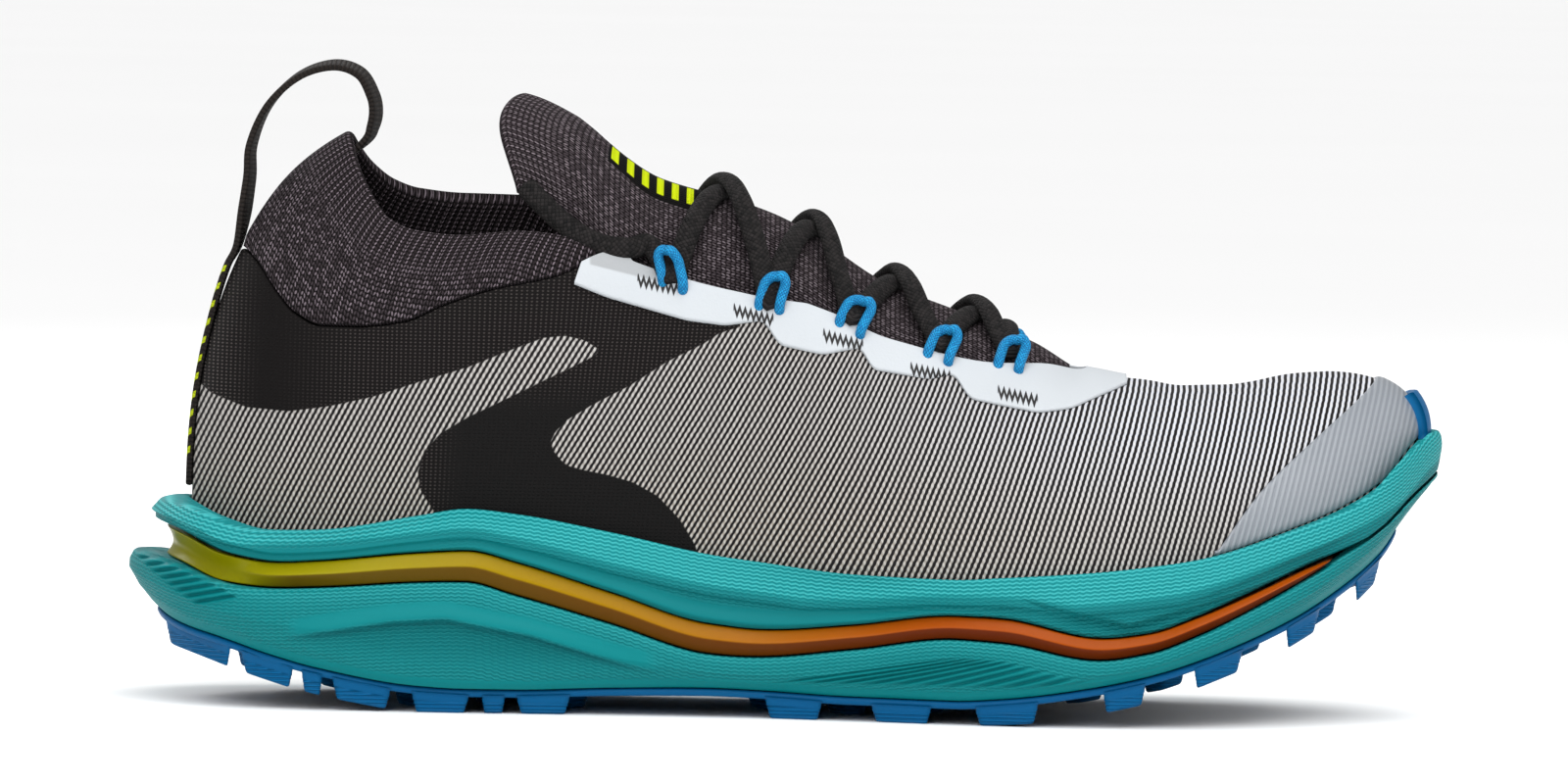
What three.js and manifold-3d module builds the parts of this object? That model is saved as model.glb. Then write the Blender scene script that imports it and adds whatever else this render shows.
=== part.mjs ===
// Trail running shoe, right foot, in millimetres.
// +X points to the toe, +Y to the inner (medial) side, +Z up. The shoe stands on z = 0.
// Each piece of the shoe is one named mesh. Every surface is worked out from the named sizes
// and from short tables whose rows are sections along the shoe, heel to toe.

import * as THREE from 'three';
import { mergeVertices } from 'three/addons/utils/BufferGeometryUtils.js';
import Module from 'manifold-3d';

const wasm = await Module();
wasm.setup();

// Driving dimensions of the sole
const LENGTH = 298.5; // heel to toe over the foam
const BALL_WIDTH = 112; // sole, widest at the ball of the foot
const SOLE_RISE = 50; // height unit of the sole's side, about the rim at the heel
const BAND_HEIGHT = 6.6; // coloured band between the foams, at the heel
const RIM_LIP = 3.2; // thickness of the rim that holds the upper
const FOOTBED_DEPTH = 9; // rim top down to the footbed, at most
const INSOLE_THICKNESS = 4;
const RUBBER_BASE = 1.7; // outsole between its lugs
const LUG_HEIGHT = 4.2;
const LUG_TAPER = 0.8; // each side of a lug leans in by this much
const HOLLOW_DEPTH = 3.2; // hollow in the side of the lower foam
const RIB_HEIGHT = 1.0;
const RIB_WIDTH = 1.7;

// Driving dimensions of the upper
const UPPER_BALL_WIDTH = 95;
const LAST_HEIGHT = 135; // top of the last over the ankle
const UPPER_HEEL = 14; // back of the upper, from the back of the sole
const TOE_FOAM = 5.5; // foam that stands out ahead of the upper
const UPPER_TOE = LENGTH - TOE_FOAM;
const WALL = 2.0; // woven shell
const KNIT_WALL = 3.0;
const KNIT_PROUD = 0.5; // knit stands out of the woven face
const KNIT_LEAST = 2.5; // the collar ends where it would be lower than this
const COLLAR_HEIGHT = 109; // collar edge below the ankle
const THROAT_HALF = 21; // half of the throat's width
const THROAT_BACK = 0.3752 * LENGTH; // where collar turns into throat
const THROAT_FRONT = 0.727 * LENGTH;
const TONGUE_THICKNESS = 3.2;
const TONGUE_TIP = 0.2915 * LENGTH; // back edge of the tongue
const TONGUE_TIP_HEIGHT = 139;
const OVERLAY = 0.9; // thickness of eyestay and toe cap
const OVERLAY_GAP = 0.5; // under the overlays, which bend round the last
const BUMPER_THICKNESS = 1.6;
const STRAP_WIDTH = 10;
const STRAP_THICKNESS = 1.6;
const LACE_DIAMETER = 5;
const LOOP_CORD = 2; // cord of the eyelet loops
const LOOP_WIDTH = 8;
const GAP = 0.3; // between pieces that touch

// Plan of the sole: place along LENGTH, half width and sideways shift as shares of BALL_WIDTH
const SOLE_PLAN = [
  { along: 0.0, half: 0.388, side: 0.002 },
  { along: 0.1, half: 0.395, side: 0.0 },
  { along: 0.25, half: 0.397, side: -0.004 },
  { along: 0.38, half: 0.357, side: -0.018 },
  { along: 0.46, half: 0.348, side: -0.027 },
  { along: 0.55, half: 0.384, side: -0.027 },
  { along: 0.65, half: 0.464, side: -0.018 },
  { along: 0.72, half: 0.5, side: 0.0 },
  { along: 0.8, half: 0.5, side: 0.018 },
  { along: 0.88, half: 0.462, side: 0.042 },
  { along: 0.95, half: 0.4, side: 0.068 },
  { along: 1.0, half: 0.33, side: 0.088 },
];
const HEEL_ROUND = 0.17; // length of the rounded heel, share of LENGTH
const TOE_ROUND = 0.2;
const ROUND_POWER = 2.15;

// Plan of the upper where it meets the rim, half width as a share of UPPER_BALL_WIDTH
const UPPER_PLAN = [
  { along: 0.0, half: 0.34 },
  { along: 0.1, half: 0.347 },
  { along: 0.25, half: 0.353 },
  { along: 0.38, half: 0.335 },
  { along: 0.46, half: 0.344 },
  { along: 0.55, half: 0.395 },
  { along: 0.65, half: 0.468 },
  { along: 0.72, half: 0.5 },
  { along: 0.8, half: 0.495 },
  { along: 0.88, half: 0.455 },
  { along: 0.95, half: 0.39 },
  { along: 1.0, half: 0.3 },
];

// Side of the sole: rim top, middle of the band and foam bottom as shares of SOLE_RISE, and the
// height of the band as a share of BAND_HEIGHT
const SOLE_SIDE = [
  { along: 0.0, rim: 0.96, band: 0.76, bandHeight: 1.0, foam: 0.5 },
  { along: 0.04, rim: 0.932, band: 0.704, bandHeight: 0.97, foam: 0.37 },
  { along: 0.077, rim: 0.85, band: 0.624, bandHeight: 0.91, foam: 0.31 },
  { along: 0.113, rim: 0.8, band: 0.604, bandHeight: 0.85, foam: 0.246 },
  { along: 0.15, rim: 0.808, band: 0.616, bandHeight: 0.88, foam: 0.192 },
  { along: 0.223, rim: 0.882, band: 0.654, bandHeight: 0.97, foam: 0.122 },
  { along: 0.26, rim: 0.916, band: 0.664, bandHeight: 1.03, foam: 0.112 },
  { along: 0.297, rim: 0.896, band: 0.612, bandHeight: 1.09, foam: 0.112 },
  { along: 0.37, rim: 0.82, band: 0.484, bandHeight: 1.03, foam: 0.126 },
  { along: 0.443, rim: 0.732, band: 0.356, bandHeight: 1.0, foam: 0.134 },
  { along: 0.48, rim: 0.704, band: 0.34, bandHeight: 0.91, foam: 0.128 },
  { along: 0.553, rim: 0.66, band: 0.38, bandHeight: 0.8, foam: 0.112 },
  { along: 0.627, rim: 0.65, band: 0.438, bandHeight: 0.76, foam: 0.11 },
  { along: 0.663, rim: 0.664, band: 0.43, bandHeight: 0.79, foam: 0.124 },
  { along: 0.737, rim: 0.698, band: 0.356, bandHeight: 0.71, foam: 0.188 },
  { along: 0.773, rim: 0.724, band: 0.384, bandHeight: 0.64, foam: 0.236 },
  { along: 0.81, rim: 0.76, band: 0.464, bandHeight: 0.59, foam: 0.306 },
  { along: 0.883, rim: 0.9, band: 0.67, bandHeight: 0.36, foam: 0.49 },
  { along: 0.92, rim: 0.99, band: 0.785, bandHeight: 0.12, foam: 0.622 },
  { along: 0.95, rim: 1.096, band: 0.906, bandHeight: 0.09, foam: 0.758 },
  { along: 0.973, rim: 1.25, band: 1.036, bandHeight: 0.09, foam: 0.92 },
  { along: 1.0, rim: 1.37, band: 1.16, bandHeight: 0.09, foam: 1.08 },
];

// Sections of the last: ridge height as a share of LAST_HEIGHT, and the powers that round the
// section at its top and at its foot
const LAST = [
  { along: 0.25, ridge: 1.0, top: 2.3, foot: 2.3 },
  { along: 0.335, ridge: 0.972, top: 2.1, foot: 2.3 },
  { along: 0.42, ridge: 0.893, top: 1.9, foot: 2.2 },
  { along: 0.487, ridge: 0.855, top: 1.6, foot: 2.15 },
  { along: 0.53, ridge: 0.817, top: 1.4, foot: 2.1 },
  { along: 0.576, ridge: 0.765, top: 1.2, foot: 2.0 },
  { along: 0.643, ridge: 0.686, top: 1.15, foot: 1.9 },
  { along: 0.687, ridge: 0.637, top: 1.25, foot: 1.9 },
  { along: 0.728, ridge: 0.58, top: 1.55, foot: 2.0 },
  { along: 0.777, ridge: 0.563, top: 1.8, foot: 2.1 },
  { along: 0.814, ridge: 0.556, top: 2.0, foot: 2.2 },
  { along: 0.85, ridge: 0.563, top: 2.2, foot: 2.3 },
  { along: 0.888, ridge: 0.579, top: 2.3, foot: 2.3 },
  { along: 0.912, ridge: 0.583, top: 2.3, foot: 2.3 },
];

// Collar edge: height as a share of COLLAR_HEIGHT on each side
const COLLAR = [
  { along: 0.15, lateral: 1.2, medial: 1.2 },
  { along: 0.162, lateral: 1.193, medial: 1.193 },
  { along: 0.168, lateral: 1.147, medial: 1.155 },
  { along: 0.178, lateral: 1.092, medial: 1.11 },
  { along: 0.196, lateral: 1.03, medial: 1.065 },
  { along: 0.215, lateral: 1.009, medial: 1.045 },
  { along: 0.25, lateral: 1.0, medial: 1.035 },
  { along: 0.295, lateral: 1.009, medial: 1.035 },
  { along: 0.335, lateral: 0.986, medial: 1.0 },
  { along: 0.375, lateral: 0.949, medial: 0.955 },
  { along: 0.43, lateral: 0.9, medial: 0.9 },
];

// Line where the knit collar is joined to the woven shell, height as a share of COLLAR_HEIGHT
const KNIT_LINE = [
  { along: 0.06, height: 0.953 },
  { along: 0.084, height: 0.942 },
  { along: 0.095, height: 0.917 },
  { along: 0.111, height: 0.858 },
  { along: 0.125, height: 0.817 },
  { along: 0.146, height: 0.793 },
  { along: 0.172, height: 0.793 },
  { along: 0.21, height: 0.806 },
  { along: 0.238, height: 0.84 },
  { along: 0.275, height: 0.875 },
  { along: 0.323, height: 0.905 },
  { along: 0.36, height: 0.949 },
  { along: 0.39, height: 0.96 },
];

// Lower edge of the eyestay, height as a share of LAST_HEIGHT
const EYESTAY_EDGE = [
  { along: 0.32, height: 0.7186 },
  { along: 0.36, height: 0.683 },
  { along: 0.42, height: 0.6564 },
  { along: 0.478, height: 0.646 },
  { along: 0.493, height: 0.6185 },
  { along: 0.555, height: 0.611 },
  { along: 0.565, height: 0.583 },
  { along: 0.622, height: 0.5716 },
  { along: 0.634, height: 0.5394 },
  { along: 0.688, height: 0.5127 },
  { along: 0.725, height: 0.5264 },
  { along: 0.757, height: 0.557 },
];
const EYESTAY_BACK = 0.325; // ends of the eyestay, share of LENGTH
const EYESTAY_FRONT = 0.757;
const EYESTAY_LEAST = 0.02; // least width of the eyestay, share of the way from rim to ridge

// Rear edge of the toe cap, height as a share of LAST_HEIGHT
const TOE_CAP_EDGE = [
  { along: 0.818, height: 0.2745 },
  { along: 0.858, height: 0.3956 },
  { along: 0.9, height: 0.4804 },
  { along: 0.945, height: 0.565 },
  { along: 0.985, height: 0.67 },
];
const TOE_CAP_BACK = 0.845;
const BUMPER_BACK = 0.963;
const BUMPER_TOP = 0.67; // share of the way from the rim to the ridge, at the toe
const BUMPER_LEAST = 4; // height of the bumper at its ends
const BUMPER_SPREAD = 0.72; // its reach to each side, share of the upper's half width

// Lugs down each side of the outsole: start and end along LENGTH
const SIDE_LUGS = [
  { from: 0.03, to: 0.083 },
  { from: 0.09, to: 0.131 },
  { from: 0.137, to: 0.153 },
  { from: 0.16, to: 0.205 },
  { from: 0.22, to: 0.264 },
  { from: 0.273, to: 0.291 },
  { from: 0.299, to: 0.34 },
  { from: 0.486, to: 0.53 },
  { from: 0.566, to: 0.612 },
  { from: 0.644, to: 0.692 },
  { from: 0.74, to: 0.772 },
  { from: 0.808, to: 0.845 },
  { from: 0.878, to: 0.904 },
  { from: 0.932, to: 0.952 },
];
const LUG_REACH = 0.26; // side lug, share of the sole's half width
const MIDDLE_LUG_ROWS = [0.1, 0.16, 0.22, 0.28, 0.335, 0.49, 0.55, 0.61, 0.67, 0.73, 0.79, 0.85, 0.905];
const MIDDLE_LUG_LENGTH = 9;

// Rib clusters on the side of the lower foam: turns round the sole from the back of the heel,
// and depth from the top of the lower foam to its bottom
const RIB_CLUSTERS = [
  { from: 0.03, to: 0.11, top: 0.14, drop: 0.3, step: 0.17, count: 4 },
  { from: 0.275, to: 0.325, top: 0.86, drop: -0.32, step: 0.18, count: 3 },
];

const ROUND_STEPS = 60; // points round each ring of the shoe

// A smooth curve through one column of a table, with no overshoot between rows
function curve(table, column, unit) {
  const xs = table.map((row) => row.along * LENGTH);
  const ys = table.map((row) => row[column] * unit);
  const slopes = xs.slice(1).map((x, i) => (ys[i + 1] - ys[i]) / (x - xs[i]));
  const tangents = xs.map((_, i) => {
    if (i === 0) return slopes[0];
    if (i === xs.length - 1) return slopes[i - 1];
    if (slopes[i - 1] * slopes[i] <= 0) return 0;
    return (2 * slopes[i - 1] * slopes[i]) / (slopes[i - 1] + slopes[i]);
  });
  return (x) => {
    if (x <= xs[0]) return ys[0];
    if (x >= xs[xs.length - 1]) return ys[ys.length - 1];
    const i = xs.findIndex((_, k) => x < xs[k + 1]);
    const span = xs[i + 1] - xs[i];
    const t = (x - xs[i]) / span;
    const rise = (3 - 2 * t) * t * t;
    const bend = (tangents[i] * (1 - t) - tangents[i + 1] * t) * t * (1 - t) * span;
    return ys[i] * (1 - rise) + ys[i + 1] * rise + bend;
  };
}

const mix = (a, b, t) => a + (b - a) * t;
const clamp = (v, low, high) => Math.min(high, Math.max(low, v));
const ease = (t) => clamp(t, 0, 1) ** 2 * (3 - 2 * clamp(t, 0, 1));

const soleHalf = curve(SOLE_PLAN, 'half', BALL_WIDTH);
const soleSide = curve(SOLE_PLAN, 'side', BALL_WIDTH);
const upperHalf = curve(UPPER_PLAN, 'half', UPPER_BALL_WIDTH);
const rimTop = curve(SOLE_SIDE, 'rim', SOLE_RISE);
const bandMiddle = curve(SOLE_SIDE, 'band', SOLE_RISE);
const bandHeight = curve(SOLE_SIDE, 'bandHeight', BAND_HEIGHT);
const foamBottom = curve(SOLE_SIDE, 'foam', SOLE_RISE);
const bandTop = (x) => bandMiddle(x) + bandHeight(x) / 2;
const bandBottom = (x) => bandMiddle(x) - bandHeight(x) / 2;

// Rounding of a plan's ends: 0 at the end, 1 from the end of the rounded stretch
function endRound(distance, stretch) {
  const t = clamp(1 - distance / stretch, 0, 1);
  return (1 - t ** ROUND_POWER) ** (1 / ROUND_POWER);
}

const END_STRETCH = 60; // only this much of each end is stretched to a plan's own heel and toe

const END_SHARE = 0.2; // share of the turns whose spacing grows from the end of the plan

// Share of the shoe's length reached at a turn: even steps, closer together at heel and toe
function lengthShare(turn) {
  const t = turn > 0.5 ? 2 - turn * 2 : turn * 2;
  const fromEnd = Math.min(t, 1 - t);
  const near =
    fromEnd < END_SHARE
      ? (fromEnd * fromEnd) / (2 * END_SHARE * (1 - END_SHARE))
      : (fromEnd - END_SHARE / 2) / (1 - END_SHARE);
  return t > 0.5 ? 1 - near : near;
}

// Place along the shoe of a turn round it, between a plan's own heel and toe
function stationX(turn, heel, toe) {
  const x = LENGTH * lengthShare(turn);
  if (x < END_STRETCH) return mix(heel, END_STRETCH, x / END_STRETCH);
  if (x > LENGTH - END_STRETCH) return mix(LENGTH - END_STRETCH, toe, 1 - (LENGTH - x) / END_STRETCH);
  return x;
}

// Point of a plan at a turn round the shoe: 0 at the heel, half a turn at the toe, first medial
function planPoint(turn, { half, heel, toe, inset = 0, toeRound = TOE_ROUND * LENGTH }) {
  const x = stationX(turn, heel + inset, toe - inset);
  const round =
    endRound(x - heel - inset, HEEL_ROUND * LENGTH) * endRound(toe - inset - x, toeRound);
  const side = turn === 0 || turn === 0.5 ? 0 : Math.sign(0.5 - turn);
  return [x, soleSide(x) + side * (half(x) - inset) * round];
}

// A ring of points round the shoe, each at a height worked out from its place along the shoe, or
// from the place that the same turn has on another plan
function ring({ half = soleHalf, heel = 0, toe = LENGTH, inset = 0, dent, toeRound, height, over }) {
  const plan = { half, heel, toe, inset, toeRound };
  return Array.from({ length: ROUND_STEPS }, (_, i) => {
    const turn = i / ROUND_STEPS;
    const [straightX] = planPoint(turn, plan);
    const depth = dent ? dent(straightX) : 0;
    const [x, y] = planPoint(turn, { ...plan, inset: inset + depth });
    return [x, y, height(over ? planPoint(turn, over)[0] : x)];
  });
}

// Six times the volume inside a list of triangles, to tell which way its faces point
function signedVolume(points, faces) {
  return faces.reduce((sum, [a, b, c]) => {
    const [ax, ay, az] = points[a];
    const [bx, by, bz] = points[b];
    const [cx, cy, cz] = points[c];
    return sum + ax * (by * cz - bz * cy) + ay * (bz * cx - bx * cz) + az * (bx * cy - by * cx);
  }, 0);
}

// A closed mesh from points and triangles, with its faces turned outwards
function closedMesh(points, faces) {
  const outward = signedVolume(points, faces) > 0 ? faces : faces.map(([a, b, c]) => [a, c, b]);
  const geometry = new THREE.BufferGeometry();
  geometry.setAttribute('position', new THREE.Float32BufferAttribute(points.flat(), 3));
  geometry.setIndex(outward.flat());
  return geometry;
}

// A solid through rings of points, closed across its first and its last ring
function stack(rings) {
  const n = rings[0].length;
  const points = rings.flat();
  const faces = [];
  const quad = (a, b, c, d) => faces.push([a, b, c], [a, c, d]);
  for (let level = 0; level < rings.length - 1; level += 1) {
    for (let i = 0; i < n; i += 1) {
      const next = (i + 1) % n;
      quad(level * n + i, level * n + next, (level + 1) * n + next, (level + 1) * n + i);
    }
  }
  const cap = (base, turned) => {
    const face = (...corners) => {
      const loop = turned ? corners : corners.reverse();
      for (let k = 1; k < loop.length - 1; k += 1) faces.push([loop[0], loop[k], loop[k + 1]]);
    };
    face(base, base + 1, base + n - 1);
    for (let i = 1; i < n / 2 - 1; i += 1) {
      face(base + i, base + i + 1, base + n - i - 1, base + n - i);
    }
    face(base + n / 2 - 1, base + n / 2, base + n / 2 + 1);
  };
  cap(0, false);
  cap((rings.length - 1) * n, true);
  return closedMesh(points, faces);
}

// A sheet given a wall: cells name their corners by key, and each key has an outer and an inner
// point. Edges that only one cell has are closed from the outer face to the inner one.
function sheet(cells, outerPoint, innerPoint) {
  const keys = [...new Set(cells.flat())];
  const index = new Map(keys.map((key, i) => [key, i]));
  const points = [...keys.map(outerPoint), ...keys.map(innerPoint)];
  const faces = [];
  const edges = new Map();
  const inner = keys.length;
  for (const cell of cells) {
    const loop = cell.map((key) => index.get(key)).filter((v, i, all) => v !== all[(i + 1) % all.length]);
    for (let k = 1; k < loop.length - 1; k += 1) {
      faces.push([loop[0], loop[k], loop[k + 1]]);
      faces.push([inner + loop[0], inner + loop[k + 1], inner + loop[k]]);
    }
    if (loop.length < 3) continue;
    loop.forEach((a, k) => {
      const b = loop[(k + 1) % loop.length];
      if (edges.has(`${b} ${a}`)) edges.delete(`${b} ${a}`);
      else edges.set(`${a} ${b}`, [a, b]);
    });
  }
  for (const [a, b] of edges.values()) faces.push([b, a, inner + a], [b, inner + a, inner + b]);
  return closedMesh(points, faces);
}

// Manifold solids and back
function solidOf(geometry) {
  const bare = geometry.clone();
  bare.deleteAttribute('normal');
  bare.deleteAttribute('uv');
  const merged = mergeVertices(bare);
  const vertProperties = new Float32Array(merged.attributes.position.array);
  const triVerts = new Uint32Array(merged.index.array);
  return new wasm.Manifold(new wasm.Mesh({ numProp: 3, vertProperties, triVerts }));
}

function geometryOf(solid) {
  const { vertProperties, triVerts } = solid.getMesh();
  const geometry = new THREE.BufferGeometry();
  geometry.setAttribute('position', new THREE.Float32BufferAttribute(vertProperties, 3));
  geometry.setIndex([...triVerts]);
  return geometry;
}

const joined = (geometries) =>
  geometryOf(geometries.map(solidOf).reduce((whole, piece) => whole.add(piece)));

// The sole

const CORE_INSET = 7; // flat faces between the layers start this far in
const TOP_FOAM_HEEL = 4; // back of the upper foam, from the back of the sole
const BAND_HEEL = 6;
const BAND_FRONT = 0.92; // tip of the band, share of LENGTH
const BAND_TIP_ROUND = 2;
const BAND_SEAT = 0.15; // more room over and under the band, where its ends turn up
const LEAST_FOAM = 2.0; // foam under the footbed, over the band
const STEP_HEIGHT = 1.6; // step along the edge of each foam layer
const BOTTOM_INSET = 3.6;
const BOTTOM_CORE_INSET = 9;

const FOOTBED_BLEND = 3; // length over which the footbed turns from one rule to the other

// Height of the footbed: below the rim, and clear of the band
function footbed(x) {
  const [a, b] = [rimTop(x) - FOOTBED_DEPTH, bandTop(x) + LEAST_FOAM];
  return (a + b + Math.hypot(a - b, FOOTBED_BLEND)) / 2;
}

const upperPlan = { half: upperHalf, heel: UPPER_HEEL, toe: UPPER_TOE };

function midsoleTop() {
  const floor = (x) => bandTop(x) + GAP;
  const level = (share) => (x) => mix(floor(x), rimTop(x), share);
  const heel = TOP_FOAM_HEEL;
  const lip = (out, drop) =>
    ring({ ...upperPlan, inset: -GAP - out, over: upperPlan, height: (x) => rimTop(x) - drop });
  return stack([
    ring({ ...upperPlan, inset: -GAP, height: footbed }),
    lip(0, 0.7),
    lip(RIM_LIP * 0.5, 0),
    lip(RIM_LIP, 1.3),
    ring({ heel, toe: LENGTH + 2.4, inset: 3, height: level(0.72) }),
    ring({ heel, toe: LENGTH + 1.6, inset: 1.6, height: level(0.45) }),
    ring({ heel, toe: LENGTH, inset: 1.2, height: (x) => floor(x) + STEP_HEIGHT }),
    ring({ heel, toe: LENGTH - 2, inset: 2.2, height: floor }),
    ring({ heel, toe: LENGTH - 2, inset: CORE_INSET, height: floor }),
  ]);
}

function midsoleBand() {
  const toe = BAND_FRONT * LENGTH;
  const half = (x) => soleHalf(x) * endRound(LENGTH - x, TOE_ROUND * LENGTH);
  const plan = { half, heel: BAND_HEEL, toe, toeRound: BAND_TIP_ROUND };
  return stack([
    ring({ ...plan, inset: CORE_INSET, height: (x) => bandBottom(x) + BAND_SEAT }),
    ring({ ...plan, inset: 2.6, height: (x) => bandBottom(x) + BAND_SEAT }),
    ring({ ...plan, inset: 1.4, height: bandMiddle }),
    ring({ ...plan, inset: 2.6, height: (x) => bandTop(x) - BAND_SEAT }),
    ring({ ...plan, inset: CORE_INSET, height: (x) => bandTop(x) - BAND_SEAT }),
  ]);
}

// Hollow in the side of the lower foam between heel and arch
const HOLLOW = [
  { along: 0.12, depth: 0 },
  { along: 0.18, depth: 0.8 },
  { along: 0.25, depth: 1 },
  { along: 0.31, depth: 0.7 },
  { along: 0.37, depth: 0 },
];
const hollow = curve(HOLLOW, 'depth', HOLLOW_DEPTH);

// Side of the lower foam, from its top edge (depth 0) to its bottom edge (depth 1)
const FOAM_SIDE = [
  { depth: 0, inset: 0.6, heel: 0, toe: -1.5, hollow: 0 },
  { depth: 0.5, inset: 0, heel: 0, toe: -2.5, hollow: 0 },
  { depth: 0.78, inset: 1.2, heel: 1, toe: -4.5, hollow: 1 },
  { depth: 1, inset: BOTTOM_INSET, heel: 3, toe: -6.5, hollow: 0.6 },
];
const foamCeiling = (x) => bandBottom(x) - GAP;
const foamSideTop = (x) => Math.max(foamCeiling(x) - STEP_HEIGHT, foamBottom(x) + 0.4);

function foamSideRing(row) {
  return {
    heel: row.heel,
    toe: LENGTH + row.toe,
    inset: row.inset,
    dent: (x) => hollow(x) * row.hollow,
    height: (x) => mix(foamSideTop(x), foamBottom(x), row.depth),
  };
}

// A bar that stands out of the side of the lower foam, between two turns round the shoe
function rib(turnA, turnB, depthA, depthB) {
  const rows = FOAM_SIDE.map(foamSideRing);
  const wall = (turn, depth) => {
    const upper = FOAM_SIDE.findIndex((row, i) => depth <= FOAM_SIDE[i + 1].depth);
    const share =
      (depth - FOAM_SIDE[upper].depth) / (FOAM_SIDE[upper + 1].depth - FOAM_SIDE[upper].depth);
    const [a, b] = [rows[upper], rows[upper + 1]].map((row) => {
      const [x0] = planPoint(turn, { half: soleHalf, ...row });
      const [x, y] = planPoint(turn, { half: soleHalf, ...row, inset: row.inset + row.dent(x0) });
      return [x, y, row.height(x)];
    });
    return new THREE.Vector3(...a).lerp(new THREE.Vector3(...b), share);
  };
  const stations = [0, 1, 2].map((k) => {
    const turn = mix(turnA, turnB, k / 2);
    const depth = mix(depthA, depthB, k / 2);
    const at = wall(turn, depth);
    const ahead = wall(turn + 0.004, depth);
    const out = new THREE.Vector3(-(ahead.y - at.y), ahead.x - at.x, 0).normalize();
    const height = RIB_HEIGHT * (k === 1 ? 1 : 0.3);
    const corner = (side, lift) => {
      const p = at.clone().addScaledVector(out, lift);
      return [p.x, p.y, p.z + side * RIB_WIDTH * 0.5];
    };
    return [corner(-1, -1), corner(-0.6, height), corner(0.6, height), corner(1, -1)];
  });
  return stack(stations);
}

function midsoleBottom() {
  const foam = stack([
    ring({ heel: TOP_FOAM_HEEL, toe: LENGTH - 2, inset: CORE_INSET, height: foamCeiling }),
    ring({ heel: 1.5, toe: LENGTH - 1.5, inset: 2, height: foamCeiling }),
    ...FOAM_SIDE.map((row) => ring(foamSideRing(row))),
    ring({ heel: 3, toe: LENGTH - 6.5, inset: BOTTOM_CORE_INSET, height: foamBottom }),
  ]);
  const ribs = RIB_CLUSTERS.flatMap(({ from, to, top, drop, step, count }) =>
    Array.from({ length: count }, (_, k) => {
      const start = top + (drop > 0 ? step : -step) * k;
      return [
        rib(from, to, start, clamp(start + drop, 0, 0.98)),
        rib(1 - from, 1 - to, start, clamp(start + drop, 0, 0.98)),
      ];
    }).flat(),
  );
  return joined([foam, ...ribs]);
}

const rubberTop = (x) => foamBottom(x) - GAP;
const rubberBottom = (x) => rubberTop(x) - RUBBER_BASE;
const lugBottom = (x) => Math.max(0, rubberBottom(x) - LUG_HEIGHT);
const LUG_ROOT = 0.5; // each lug starts this deep in the base

// A lug: its outline on the base, drawn in towards its tip
function lug(outline) {
  const mean = (axis) => outline.reduce((sum, point) => sum + point[axis], 0) / outline.length;
  const middle = [mean(0), mean(1)];
  const tip = outline.map(([x, y]) => {
    const reach = Math.hypot(x - middle[0], y - middle[1]);
    const share = 1 - LUG_TAPER / reach;
    return [mix(middle[0], x, share), mix(middle[1], y, share)];
  });
  const root = outline.map(([x, y]) => [x, y, rubberBottom(x) + LUG_ROOT]);
  return stack([root, tip.map(([x, y]) => [x, y, lugBottom(x)])]);
}

function outsole() {
  const bottomPlan = { heel: 3, toe: LENGTH - 6.5 };
  const edge = (x) => {
    const round =
      endRound(x - bottomPlan.heel - BOTTOM_INSET, HEEL_ROUND * LENGTH) *
      endRound(bottomPlan.toe - BOTTOM_INSET - x, TOE_ROUND * LENGTH);
    return (soleHalf(x) - BOTTOM_INSET - hollow(x) * 0.6) * round;
  };
  const base = stack([
    ring({ ...bottomPlan, inset: BOTTOM_CORE_INSET, height: rubberBottom }),
    ring({ ...bottomPlan, inset: BOTTOM_INSET + 0.5, dent: (x) => hollow(x) * 0.6, height: rubberBottom }),
    ring({ ...bottomPlan, inset: BOTTOM_INSET, dent: (x) => hollow(x) * 0.6, height: rubberTop }),
    ring({ ...bottomPlan, inset: BOTTOM_CORE_INSET, height: rubberTop }),
  ]);
  const sideLugs = SIDE_LUGS.flatMap(({ from, to }) =>
    [-1, 1].map((side) => {
      const corner = (x, reach) => [x, soleSide(x) + side * (edge(x) - reach)];
      const reach = LUG_REACH * soleHalf((from + to) * 0.5 * LENGTH);
      const [a, b] = [from * LENGTH, to * LENGTH];
      const lean = (b - a) * 0.12;
      return lug([corner(a, 0), corner(b, 0), corner(b - lean, reach), corner(a + lean, reach)]);
    }),
  );
  const middleLugs = MIDDLE_LUG_ROWS.flatMap((along, row) => {
    const x = along * LENGTH;
    const places = row % 2 ? [0] : [-0.3, 0.3];
    const toToe = along < 0.4 ? 1 : -1;
    const length = MIDDLE_LUG_LENGTH;
    return places.map((place) => {
      const y = soleSide(x) + place * edge(x);
      const width = Math.min(7.5, edge(x) * 0.22);
      return lug([
        [x - toToe * length * 0.5, y - width * 0.7],
        [x + toToe * length * 0.1, y - width],
        [x + toToe * length * 0.6, y - width * 0.3],
        [x + toToe * length * 0.6, y + width * 0.3],
        [x + toToe * length * 0.1, y + width],
        [x - toToe * length * 0.5, y + width * 0.7],
      ]);
    });
  });
  return joined([base, ...sideLugs, ...middleLugs]);
}

function insole() {
  const inset = WALL + GAP;
  const top = (x) => footbed(x) + GAP + INSOLE_THICKNESS;
  return stack([
    ring({ ...upperPlan, inset: inset + 2, height: (x) => footbed(x) + GAP }),
    ring({ ...upperPlan, inset: inset + 0.8, height: (x) => footbed(x) + GAP }),
    ring({ ...upperPlan, inset, height: top }),
    ring({ ...upperPlan, inset: inset + 4, height: (x) => top(x) - 0.6 }),
  ]);
}

// The upper

const SPINE_BACK = 0.5126 * LENGTH; // behind this the ridge is drawn forward of its foot line
const SPINE_BACK_SHARE = 0.561;
const SPINE_FRONT = 0.794 * LENGTH; // ahead of this the ridge is drawn back from its foot line
const SPINE_FRONT_SHARE = 0.62;
const THROAT_BEND = 5; // power that rounds the front of the throat
const THROAT_LEAD = 14; // the collar starts to open into the throat this far back
const THROAT_EASE = 16; // length over which the throat opens

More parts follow.
